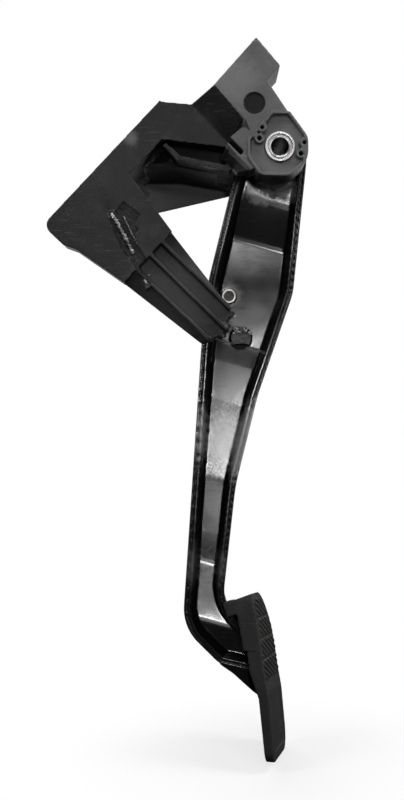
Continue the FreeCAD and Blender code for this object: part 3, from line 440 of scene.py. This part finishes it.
# %% [markdown]
# ## Finishes on the CAD nodes
# Each CAD node keeps its mesh. Its material slots carry the names of the record's finishes, so
# a table from name to material dresses them all.

# %% Dress the CAD nodes
finishes = {
    "bracket": bracket_plastic,
    "pedal_arm": arm_plastic,
    "brake_pad": pad_rubber,
    "rest_buffer": pad_rubber,
    "near_collar": collar_steel,
    "far_collar": collar_steel,
    "pivot_tube": tube_steel,
    "near_thrust_washer": collar_steel,
    "far_thrust_washer": collar_steel,
    "near_hub_bush": bush_plastic,
    "far_hub_bush": bush_plastic,
    "rod_bush": bush_plastic,
    "rod_pin": zinc_steel,
    "bulkhead_sleeves": zinc_steel,
    "head_insert": insert_brass,
}
for node, finish in finishes.items():
    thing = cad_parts[node]
    for slot in thing.material_slots:
        slot.material = finish
    print(node, "->", finish.name)


# %% [markdown]
# ## The torn places, in numbers
# On the photograph's object a rib was ripped off the near cheek and a boss off the arm's floor.
# The same corners as in the CAD source, in millimetres, say where the skin is gone.

# %% Places of the tears
TORN_PATCHES = (
    [(-83.1, -33.0), (-80.3, -28.9), (-76.1, -24.4), (-69.9, -28.9), (-67.6, -31.1), (-70.2, -36.4),
     (-68.7, -38.7), (-70.2, -41.0), (-69.7, -45.5), (-71.5, -51.0), (-74.5, -51.4), (-78.7, -43.6)],
    [(-74.5, -50.4), (-69.7, -45.5), (-66.0, -50.8), (-61.9, -57.6), (-61.2, -64.2), (-66.6, -65.5),
     (-71.2, -58.0)],
)
TORN_TIP = [
    (-20.8, -78.7), (-24.9, -82.6), (-23.2, -85.4), (-26.2, -87.9), (-25.4, -90.4), (-31.0, -90.9),
    (-33.6, -93.3),
]
RIDGE = [(-81.9, -30.3), (-79.4, -34.4), (-77.1, -38.3), (-74.8, -42.6), (-73.5, -45.5), (-71.2, -49.8)]
STUB = (-17.2, -89.6)
ALONG_RIDGE = (0.481, -0.877)
ARM_LEAN = math.radians(15.6)


def inside(x, z, corners):
    hit = False
    for (ax, az), (bx, bz) in zip(corners, corners[1:] + corners[:1]):
        if (az > z) != (bz > z) and x < ax + (bx - ax) * (z - az) / (bz - az):
            hit = not hit
    return hit


def off_line(x, z, line):
    best = 1e9
    for (ax, az), (bx, bz) in zip(line, line[1:]):
        run = ((x - ax) * (bx - ax) + (z - az) * (bz - az)) / ((bx - ax) ** 2 + (bz - az) ** 2)
        run = min(1.0, max(0.0, run))
        best = min(best, math.hypot(x - ax - run * (bx - ax), z - az - run * (bz - az)))
    return best


def down_arm(x, z):
    # how far down the arm a point lies, measured along the arm's slope
    return -x * math.sin(ARM_LEAN) - z * math.cos(ARM_LEAN)


def is_torn(x, y, z):
    if not (-26.4 < y < -24.2 and -85 < x < -59 and -67 < z < -22):
        return False
    stray = field.noise(Vector((x * 0.7, 3.0, z * 0.7)))
    return any(inside(x + 0.9 * stray, z + 1.1 * stray, patch) for patch in TORN_PATCHES)


print("tears on the cheek:", len(TORN_PATCHES), "- torn tip corners:", len(TORN_TIP))

# %% [markdown]
# ## Reshaping the skin
# A broken surface has no two facets alike. Fractal noise moves the points of the finished mesh,
# and only those that lie in a tear. On the cheek the noise is drawn out along the lost rib. The
# same kind of function gives a corner a smaller radius, or a channel a different floor.

# %% Moves of the points
BASE_LEAN = math.radians(46.8)
BASE_MIDDLE = (-87.1, -5.4)
BASE_HALF = 42.1
CAD_RADIUS = 8
SEEN_RADIUS = 5


def sharper_corner(x, y, z):
    # the base's lower corner, in distances from the corner along the base and away from it
    sine, cosine = math.sin(BASE_LEAN), math.cos(BASE_LEAN)
    dx, dz = x - BASE_MIDDLE[0], z - BASE_MIDDLE[1]
    along = dx * cosine + dz * sine + BASE_HALF
    inward = dx * sine - dz * cosine
    if y > -0.2 or max(along, inward) > CAD_RADIUS or min(along, inward) < -1:
        return x, y, z
    a, b = CAD_RADIUS - along, CAD_RADIUS - inward
    out = math.hypot(a, b)
    if out < 0.1 or min(a, b) <= 0:
        return x, y, z
    ca, cb = a / out, b / out
    reach = CAD_RADIUS / max(ca, cb)
    gain = CAD_RADIUS - SEEN_RADIUS
    if min(ca, cb) * reach > gain:
        half = gain * (ca + cb)
        reach = half + math.sqrt(half * half + (SEEN_RADIUS ** 2 - 2 * gain ** 2))
    a, b = a * reach / CAD_RADIUS, b * reach / CAD_RADIUS
    along, inward = CAD_RADIUS - a - BASE_HALF, CAD_RADIUS - b
    return (along * cosine + inward * sine + BASE_MIDDLE[0], y,
            along * sine - inward * cosine + BASE_MIDDLE[1])


def rough_bracket(x, y, z):
    x, y, z = sharper_corner(x, y, z)
    if -29 < y < -25.6 and -84 < x < -69 and off_line(x, z, RIDGE) < 1.9:
        return x, -25.4 + 0.4 * field.noise(Vector((x, 0, z)) * 0.8), z
    if is_torn(x, y, z):
        along = x * ALONG_RIDGE[0] + z * ALONG_RIDGE[1]
        across = x * ALONG_RIDGE[1] - z * ALONG_RIDGE[0]
        depth = field.fractal(Vector((along / 3.2, across / 0.9, 1.7)), 0.8, 2.1, 4)
        return x, y + 0.22 + 0.42 * depth, z
    if x > -37 and -96 < z < -76 and off_line(x, z, TORN_TIP) < 1.7:
        push = field.noise_vector(Vector((x, y, z)) * 0.9)
        return x + 0.8 * push.x, y + 0.5 * push.y, z + 0.8 * push.z
    return x, y, z


# depth of the channel's floor by the distance down the arm, in the CAD model and as it looks
CAD_FLOOR = [(0.0, 4.6), (8.0, 4.6), (19.6, 2.4), (41.4, 8.4), (95.0, 8.8), (165.0, 5.0), (300.0, 4.0)]
SEEN_FLOOR = [
    (0.0, 0.8), (8.0, 0.8), (19.6, 2.4), (41.4, 8.4), (95.0, 8.8), (165.0, 5.2), (208.0, 5.0),
    (236.0, -0.4), (300.0, -0.6),
]
# the pad's back, as x by z
PAD_LINE = [(-221.4, -8.4), (-240.9, -4.9), (-258.8, -2.3), (-272.0, 0.4), (-303.5, 4.0)]


def along_line(at, line):
    for (a, low), (b, high) in zip(line, line[1:]):
        if min(a, b) <= at <= max(a, b):
            return low + (high - low) * (at - a) / (b - a)
    return line[0][1] if abs(at - line[0][0]) < abs(at - line[-1][0]) else line[-1][1]


def settle(x, y, z):
    down = down_arm(x, z)
    if y < -7 or down < 4:
        return y
    floor_y = along_line(down, CAD_FLOOR)
    seen_y = sum(along_line(down + step, SEEN_FLOOR) for step in (-1.6, -0.8, 0.0, 0.8, 1.6)) / 5
    share = min(1.0, (y + 7) / (floor_y + 7)) * min(1.0, (down - 4) / 5)
    share *= min(1.0, max(0.0, (math.hypot(x, z) - 13.0) / 2))
    if z < -215:
        plate_x = along_line(z, PAD_LINE) - 6.8 + 0.21 * y
        share *= min(1.0, max(0.0, (plate_x - x) / 6))
    return y + (seen_y - floor_y) * share


HUB_END = 15.3
HUB_WALL = (9.9, 12.6, 13.4)


def slim_hub(x, y, z):
    # the wall shrinks to a third of its thickness, and the move fades out just past it
    inner, outer, fade = HUB_WALL
    out = math.hypot(x, z)
    if abs(y) > HUB_END or not inner < out < fade or z > -5:
        return x, z
    share = (inner + (out - inner) * (0.3 if out < outer else 0.3 + 0.7 * (out - outer) / 0.8)) / out
    return x * share, z * share


def rough_arm(x, y, z):
    x, z = slim_hub(x, y, z)
    y = settle(x, y, z)
    dx, dz = x - STUB[0], z - STUB[1]
    out = math.hypot(dx, dz)
    if out < 6.6 and 1.0 < y < 8.3:
        bump = field.fractal(Vector((x / 1.3, y / 3.0, z / 1.3)), 0.9, 2.1, 4)
        ragged = 1.0 + 0.13 * field.noise(Vector((dx, 5.0, dz)) * 0.45) * (out > 3.6)
        return STUB[0] + dx * ragged, y + 0.45 * bump, STUB[1] + dz * ragged
    down = down_arm(x, z)
    if 94 < down < 125 and 4.5 < y < 9.6:
        # the small step across the floor where it turns towards the driver
        rise = min(1.0, (down - 94.2) / 0.9) * min(1.0, (125 - down) / 20)
        return x, y - 0.42 * max(0.0, rise), z
    return x, y, z


def longer_hood(x, y, z):
    if x < -9 and z > -246:
        share = min(1.0, (-9 - x) / 9)
        return x - 2.6 * share, y, z - 1.0 * share
    return x, y, z


print("depth of one torn point:", [round(v, 2) for v in rough_bracket(-74.0, -25.3, -40.0)])

# %% [markdown]
# ## Mouldings with round edges
# A CAD solid has knife edges, and a moulding never does. The mesh is copied and rebuilt from small
# voxels, then smoothed, so that each edge of it becomes a small radius. The tears are roughened
# while the mesh is still fine. Last, the flat areas give back most of their triangles.


# %% Rounded copy of a CAD node
def rounded_copy(node, name, voxel, smooth, body, finish, most=0, move=None, others=()):
    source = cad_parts[node]
    mesh = source.data.copy()
    piece = bpy.data.objects.new(name, mesh)
    bpy.context.collection.objects.link(piece)
    bm = bmesh.new()
    bm.from_mesh(mesh)
    bmesh.ops.remove_doubles(bm, verts=bm.verts, dist=1e-6)
    bm.to_mesh(mesh)
    bm.free()
    remesh = piece.modifiers.new("remesh", "REMESH")
    remesh.mode = "VOXEL"
    remesh.voxel_size = voxel
    ease = piece.modifiers.new("ease", "SMOOTH")
    ease.factor = 0.5
    ease.iterations = smooth
    fine = bpy.data.meshes.new_from_object(piece.evaluated_get(bpy.context.evaluated_depsgraph_get()))
    piece.modifiers.clear()
    piece.data = fine
    if move:
        for point in fine.vertices:
            point.co = [v * MM for v in move(*(v / MM for v in point.co))]
    count = sum(len(face.vertices) - 2 for face in fine.polygons)
    if most and count > most:
        piece.modifiers.new("fewer", "DECIMATE").ratio = most / count
        graph = bpy.context.evaluated_depsgraph_get()
        piece.data = bpy.data.meshes.new_from_object(piece.evaluated_get(graph))
        piece.modifiers.clear()
    final = piece.data
    final.materials.clear()
    final.materials.append(finish)
    for number, (other, test) in enumerate(others):
        final.materials.append(other)
        for face in final.polygons:
            if test(*(v / MM for v in face.center)):
                face.material_index = number + 1
    for face in final.polygons:
        face.use_smooth = final.materials[face.material_index].name[:4] != "torn"
    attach(piece, body)
    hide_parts(node)
    print(name, count, "triangles before,", sum(len(f.vertices) - 2 for f in final.polygons), "after")
    return piece


# %% Pad rubber and rest buffer
pad = rounded_copy(
    "brake_pad", "pad_rubber_cover", voxel=0.00045, smooth=3, body="pedal_body", finish=pad_rubber,
    move=longer_hood,
)
buffer = rounded_copy(
    "rest_buffer", "rest_buffer_rubber", voxel=0.0003, smooth=3, body="bracket_body", finish=pad_rubber
)


# %% Bracket moulding
MARK_PLACE = (-12.3, 21.1)
MARK_RADIUS = 5.3
MOST_TRIANGLES = 190000


def on_tip(x, y, z):
    return x > -37 and -96 < z < -76 and off_line(x, z, TORN_TIP) < 0.9


# the trough's inside, which gets painted shade
def in_trough(x, y, z):
    return -22 < y < 26 and -62 < x < -21 and -15 < z < 12


def on_front(x, y, z):
    return y < -33 and x > -33 and (z < 9 or 0.764 * x + 0.646 * z > -4.7)


# the mark's recessed disc, which gets painted shade
def on_mark(x, y, z):
    return y < -34.2 and math.hypot(x - MARK_PLACE[0], z - MARK_PLACE[1]) < MARK_RADIUS


housing = rounded_copy(
    "bracket", "bracket_moulding", voxel=0.0005, smooth=2, body="bracket_body", finish=bracket_plastic,
    most=MOST_TRIANGLES, move=rough_bracket,
    others=((torn_dark, is_torn), (torn_dark, on_tip), (bracket_inside, in_trough),
            (bracket_rubbed, on_front), (bracket_inside, on_mark)),
)


# %% Arm moulding
def on_stub(x, y, z):
    return math.hypot(x - STUB[0], z - STUB[1]) < 5.2 and y < 7.4


def in_pit(x, y, z):
    return math.hypot(x - STUB[0], z - STUB[1]) < 6.4 and z < STUB[1] - 2.6 and 6.6 < y < 12


# painted highlight: the step's thin band takes the light grey finish, which stands for a line of light
def on_step_highlight(x, y, z):
    return 94.3 < down_arm(x, z) < 95.3 and 6.5 < y < 9.5 and -36 < x < -5


arm = rounded_copy(
    "pedal_arm", "arm_moulding", voxel=0.0004, smooth=2, body="pedal_body", finish=arm_plastic,
    most=MOST_TRIANGLES, move=rough_arm,
    others=((torn_grey, on_stub), (torn_dark, in_pit), (torn_grey, on_step_highlight)),
)

# %% [markdown]
# ## The sheet behind the pad, standing for shade
# Between the channel's end and the pad a sheet of the arm's plastic closes the corner to the light: it stands
# for the shade there.
# It is an outline drawn as a face, given thickness, and rounded on its edges by a bevel.

# %% Web
SHADE_SHEET = [
    (-31.0, -247.0), (-24.5, -231.5), (-18.0, -230.0), (-10.5, -232.5), (-8.5, -242.0), (-7.0, -256.0),
    (-22.0, -260.0),
]
SHADE_SHEET_NEAR = 1.6
SHADE_SHEET_THICK = 3.0


def object_of(bm, name, finishes):
    mesh = bpy.data.meshes.new(name)
    bm.to_mesh(mesh)
    bm.free()
    for finish in finishes:
        mesh.materials.append(finish)
    piece = bpy.data.objects.new(name, mesh)
    bpy.context.collection.objects.link(piece)
    return piece


bm = bmesh.new()
face = bm.faces.new([bm.verts.new((x * MM, SHADE_SHEET_NEAR * MM, z * MM)) for x, z in SHADE_SHEET])
side = bmesh.ops.extrude_face_region(bm, geom=[face])["geom"]
far_points = [v for v in side if isinstance(v, bmesh.types.BMVert)]
bmesh.ops.translate(bm, verts=far_points, vec=(0, SHADE_SHEET_THICK * MM, 0))
bmesh.ops.bevel(bm, geom=bm.edges, offset=0.0005, segments=2, affect="EDGES")
bmesh.ops.recalc_face_normals(bm, faces=bm.faces)
shade_sheet = object_of(bm, "foot_web", (arm_plastic,))
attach(shade_sheet, "pedal_body")
print("foot_web:", len(shade_sheet.data.polygons), "faces")

# %% [markdown]
# ## The ridge of the lost rib
# The root of the rib still stands, stretched and snapped. Its crest is made station by station: five points
# across, moved by seeded random steps, and joined by flat facets. Crest facets are pale, since only the crest
# was drawn out, and their near white is also a painted glint; flank facets are dark.


# %% Ridge
def torn_ridge(name, line, base_y, crest_y, width, step, seed, body):
    chance = random.Random(seed)
    stations = []
    for (ax, az), (bx, bz) in zip(line, line[1:]):
        length = math.hypot(bx - ax, bz - az)
        count = max(2, round(length / step))
        tx, tz = (bx - ax) / length, (bz - az) / length
        for i in range(count):
            stations.append((ax + (bx - ax) * i / count, az + (bz - az) * i / count, tx, tz))
    stations.append((*line[-1], stations[-1][2], stations[-1][3]))
    bm = bmesh.new()
    rows = []
    for number, (x, z, tx, tz) in enumerate(stations):
        fade = min(1.0, 0.35 + 4 * min(number, len(stations) - 1 - number) / len(stations))
        row = []
        for across, rise in ((-1.0, 0.0), (-0.45, 0.5), (0.0, 1.0), (0.4, 0.55), (1.0, 0.0)):
            side = (across + chance.uniform(-0.28, 0.28)) * width / 2
            y = base_y + (crest_y - base_y) * rise * fade * chance.uniform(0.45, 1.15)
            jolt = chance.uniform(-0.3, 0.3) * step
            point = (x - tz * side + tx * jolt, y, z + tx * side + tz * jolt)
            row.append(bm.verts.new([v * MM for v in point]))
        rows.append(row)
    for low_row, high_row in zip(rows, rows[1:]):
        for i in range(4):
            pair = [low_row[i], low_row[i + 1], high_row[i + 1], high_row[i]]
            for corners in ((pair[0], pair[1], pair[2]), (pair[0], pair[2], pair[3])):
                face = bm.faces.new(corners)
                face.material_index = chance.choice((0, 0, 0, 1)) if i in (1, 2) else 2
    bmesh.ops.contextual_create(bm, geom=rows[0])
    bmesh.ops.contextual_create(bm, geom=rows[-1])
    bmesh.ops.recalc_face_normals(bm, faces=bm.faces)
    piece = object_of(bm, name, (torn_pale, torn_grey, torn_dark))
    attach(piece, body)
    print(name, len(stations), "stations,", len(piece.data.polygons), "facets")
    return piece


RIDGE_FOOT = -25.2
THIN_RIDGE = [(-75.9, -31.8), (-72.2, -39.6), (-70.4, -43.6)]
torn_ridge(
    "torn_ridge", RIDGE, base_y=RIDGE_FOOT, crest_y=-28.2, width=3.2, step=0.42, seed=7,
    body="bracket_body",
)
torn_ridge(
    "torn_ridge_thin", THIN_RIDGE, base_y=RIDGE_FOOT, crest_y=-26.5, width=0.8, step=0.5, seed=11,
    body="bracket_body",
)

# %% [markdown]
# ## Chips, splinters and flakes
# Small broken bits are all shards: a flat foot, a crest with two points, and facets between.
# Flakes are thin curled strips that bend away from the break. A seeded random gives each its own
# size, so the script makes the same ones every time.


# %% Shards
def shards(name, places, seed, body, finishes):
    chance = random.Random(seed)
    bm = bmesh.new()
    for x, y, z, length, width, angle, rise in places:
        ux, uz = math.cos(math.radians(angle)), math.sin(math.radians(angle))
        foot = []
        for i in range(6):
            turn = math.tau * i / 6 + chance.uniform(-0.25, 0.25)
            a, b = 0.5 * length * math.cos(turn), 0.5 * width * math.sin(turn)
            foot.append(bm.verts.new([v * MM for v in (x + ux * a - uz * b, y + 0.3, z + uz * a + ux * b)]))
        crest = []
        for along in (-0.22, 0.28):
            a = along * length
            top = y - rise * chance.uniform(0.75, 1.1)
            crest.append(bm.verts.new([v * MM for v in (x + ux * a, top, z + uz * a)]))
        fans = ((foot[5], foot[0], crest[1]), (foot[0], foot[1], crest[1]), (foot[1], crest[0], crest[1]),
                (foot[1], foot[2], crest[0]), (foot[2], foot[3], crest[0]), (foot[3], foot[4], crest[0]),
                (foot[4], crest[1], crest[0]), (foot[4], foot[5], crest[1]))
        for corners in fans:
            bm.faces.new(corners).material_index = chance.randrange(len(finishes))
        bm.faces.new(foot[::-1])
    bmesh.ops.recalc_face_normals(bm, faces=bm.faces)
    piece = object_of(bm, name, finishes)
    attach(piece, body)
    print(name, len(places), "shards")
    return piece


# the pale finish on these shards is partly pale broken plastic, partly a painted glint
# x, y, z, length, width, angle in the x-z plane, rise towards the camera side
shards("cheek_chip", [(-64.9, -24.6, -63.4, 5.0, 2.0, -62, 1.3), (-63.6, -24.4, -60.6, 1.6, 1.0, 20, 0.8)],
       3, "bracket_body", (torn_grey, torn_grey, torn_pale))
shards("tip_splinters", [
    (-21.4, -20.6, -80.6, 1.7, 0.9, 70, 1.3), (-22.6, -20.4, -82.0, 1.2, 0.7, 20, 0.8),
    (-23.6, -20.6, -83.9, 1.5, 0.6, 60, 0.7), (-24.6, -20.3, -87.2, 1.6, 0.8, -30, 0.9),
    (-27.0, -20.4, -90.2, 2.0, 0.8, 5, 0.7), (-30.4, -20.3, -90.6, 1.6, 0.7, -10, 0.6),
], 5, "bracket_body", (torn_pale, torn_grey, torn_dark))


# %% Flakes
FLAKE_THICK = 0.00022


def flakes(name, places, seed, body, finish):
    chance = random.Random(seed)
    bm = bmesh.new()
    for x, y, z, length, width, angle, curl in places:
        ux, uz = math.cos(math.radians(angle)), math.sin(math.radians(angle))
        before = None
        for i in range(8):
            t = i / 7
            bend = curl * t
            along = length * math.sin(bend) / max(curl, 0.01)
            lift = length * (1 - math.cos(bend)) / max(curl, 0.01)
            half = 0.5 * width * (1 - 0.75 * t) * chance.uniform(0.8, 1.1)
            pair = []
            for side in (-half, half):
                point = (x + ux * along - uz * side, y - lift, z + uz * along + ux * side)
                pair.append(bm.verts.new([v * MM for v in point]))
            if before:
                bm.faces.new((before[0], before[1], pair[1], pair[0]))
            before = pair
    piece = object_of(bm, name, (finish,))
    piece.modifiers.new("thick", "SOLIDIFY").thickness = FLAKE_THICK
    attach(piece, body)
    print(name, len(places), "flakes")
    return piece


# the flakes' near-white finish is partly pale broken plastic, partly a painted glint
# x, y, z, length, width, angle in the x-z plane, curl in radians
flakes("stub_flakes", [
    (-21.0, 5.8, -85.8, 2.0, 0.9, 70, 1.2), (-20.6, 5.6, -87.3, 1.6, 0.8, 140, 1.0),
    (-18.6, 5.4, -85.2, 2.6, 1.1, 150, 1.3), (-17.6, 5.2, -86.6, 2.8, 1.0, 160, 0.9),
    (-14.8, 5.6, -86.0, 2.6, 1.0, 50, 1.4), (-13.2, 5.8, -86.8, 2.4, 0.8, 25, 1.2),
    (-12.6, 6.0, -87.4, 2.0, 0.7, -10, 1.5), (-15.4, 5.6, -85.2, 1.6, 0.6, 95, 1.0),
], 9, "pedal_body", torn_pale)

# %% [markdown]
# ## The lamps
# Black plastic shows its lamps more than its colour. Two wide cards high in front light the whole.
# The arm's floor changes its slope several times, and each slope mirrors another part of the room,
# so four small cards stand where the slopes that shine in the photograph look. Softer lamps left,
# right and behind draw the edges.


# %% Lamps
def lamp(name, place, aim, size, radiance):
    data = bpy.data.lights.new(name, "AREA")
    data.shape = "RECTANGLE"
    data.size, data.size_y = size
    data.energy = radiance * math.pi * size[0] * size[1]
    thing = bpy.data.objects.new(name, data)
    thing.location = place
    thing.rotation_euler = (Vector(aim) - Vector(place)).to_track_quat("-Z", "Y").to_euler()
    thing.visible_camera = False
    bpy.context.collection.objects.link(thing)
    return thing


middle = (-0.04, 0.0, -0.12)
lamp("high_card", (0.0, -1.30, 0.44), (0.0, 0.0, 0.0), (1.1, 0.30), 2.0)
lamp("top_card", (0.05, -0.90, 1.05), (0.0, 0.0, 0.0), (0.7, 0.5), 4.0)
lamp("card_hub", (0.086, -1.20, -0.106), (0.0, 0.0, -0.02), (0.088, 0.058), 120.0)
lamp("card_pin", (0.0, -0.60, 0.058), (-0.01, 0.0, -0.05), (0.08, 0.034), 26.0)
lamp("card_shank", (0.014, -0.60, -0.076), (-0.03, 0.0, -0.13), (0.04, 0.070), 6.5)
lamp("card_foot", (0.0, -0.90, -0.258), (-0.04, 0.0, -0.20), (0.06, 0.08), 9.0)
lamp("left_lamp", (-0.85, -0.45, 0.55), middle, (0.45, 0.45), 7.0)
lamp("right_lamp", (0.85, -0.25, 0.15), middle, (0.30, 0.8), 3.0)
lamp("back_lamp", (-0.3, 1.0, 0.6), middle, (0.7, 0.6), 4.0)
lamp("edge_lamp", (0.75, -0.12, 0.65), middle, (0.45, 0.45), 8.0)

# %% [markdown]
# ## Floor and world
# The picture has a white ground. The floor takes the shadow near the object, and further out
# it turns into a plain white that only the camera and mirrors see. The world does the same. The
# mirrors see white only behind the object: the room in front of it is dark.

# %% World
world = bpy.data.worlds.new("world")
bpy.context.scene.world = world
world.use_nodes = True
tree = world.node_tree
tree.nodes.clear()
direction = add(tree, "ShaderNodeTexCoord").outputs["Generated"]
depth = add(tree, "ShaderNodeSeparateXYZ", Vector=direction).outputs[1]
level = between(tree, depth, -0.3, 0.6, 0.03, 0.10)
rays = add(tree, "ShaderNodeLightPath").outputs
behind = calc(tree, "MULTIPLY", between(tree, depth, 0.25, 0.9), rays["Is Glossy Ray"])
level = calc(tree, "MAXIMUM", calc(tree, "MAXIMUM", level, behind), rays["Is Camera Ray"])
sky = add(tree, "ShaderNodeBackground", Color=(1, 1, 1, 1), Strength=level)
add(tree, "ShaderNodeOutputWorld", Surface=sky.outputs[0])

# %% Floor
low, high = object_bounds()
bm = bmesh.new()
bmesh.ops.create_circle(bm, cap_ends=True, segments=64, radius=6.0)
mesh = bpy.data.meshes.new("floor")
bm.to_mesh(mesh)
bm.free()
floor = bpy.data.objects.new("floor", mesh)
floor.location = (0.0, 0.0, low.z - 0.0004)
bpy.context.collection.objects.link(floor)
floor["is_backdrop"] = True
material = bpy.data.materials.new("floor")
material.use_nodes = True
tree = material.node_tree
tree.nodes.clear()
place = add(tree, "ShaderNodeTexCoord").outputs["Object"]
speckle = cloud(tree, place, 0.004, 3.0)
pale = blend(tree, speckle, (0.86, 0.86, 0.86, 1), (0.92, 0.92, 0.92, 1))
rays = add(tree, "ShaderNodeLightPath").outputs
pale = blend(tree, rays["Is Camera Ray"], (0.06, 0.06, 0.06, 1), pale)
matte = add(tree, "ShaderNodeBsdfDiffuse", Color=pale)
white = add(tree, "ShaderNodeEmission", Color=(1, 1, 1, 1), Strength=1.0)
out = add(tree, "ShaderNodeVectorMath", {"operation": "LENGTH"}, n0=place).outputs["Value"]
ring = between(tree, out, 0.02, 0.12, 0.65, 1.0)
behind = between(tree, add(tree, "ShaderNodeSeparateXYZ", Vector=place).outputs[1], -0.2, 0.2)
mirrored = calc(tree, "MULTIPLY", rays["Is Glossy Ray"], behind)
far_off = calc(tree, "MULTIPLY", between(tree, out, 0.35, 1.2), mirrored)
shown = calc(tree, "ADD", calc(tree, "MULTIPLY", rays["Is Camera Ray"], ring), far_off)
mixed = add(tree, "ShaderNodeMixShader", n0=shown, n1=matte.outputs[0], n2=white.outputs[0])
add(tree, "ShaderNodeOutputMaterial", Surface=mixed.outputs[0])
mesh.materials.append(material)

# %% [markdown]
# ## Sizes and the end
# The box round the dressed model is measured.

# %% Finish
low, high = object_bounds()
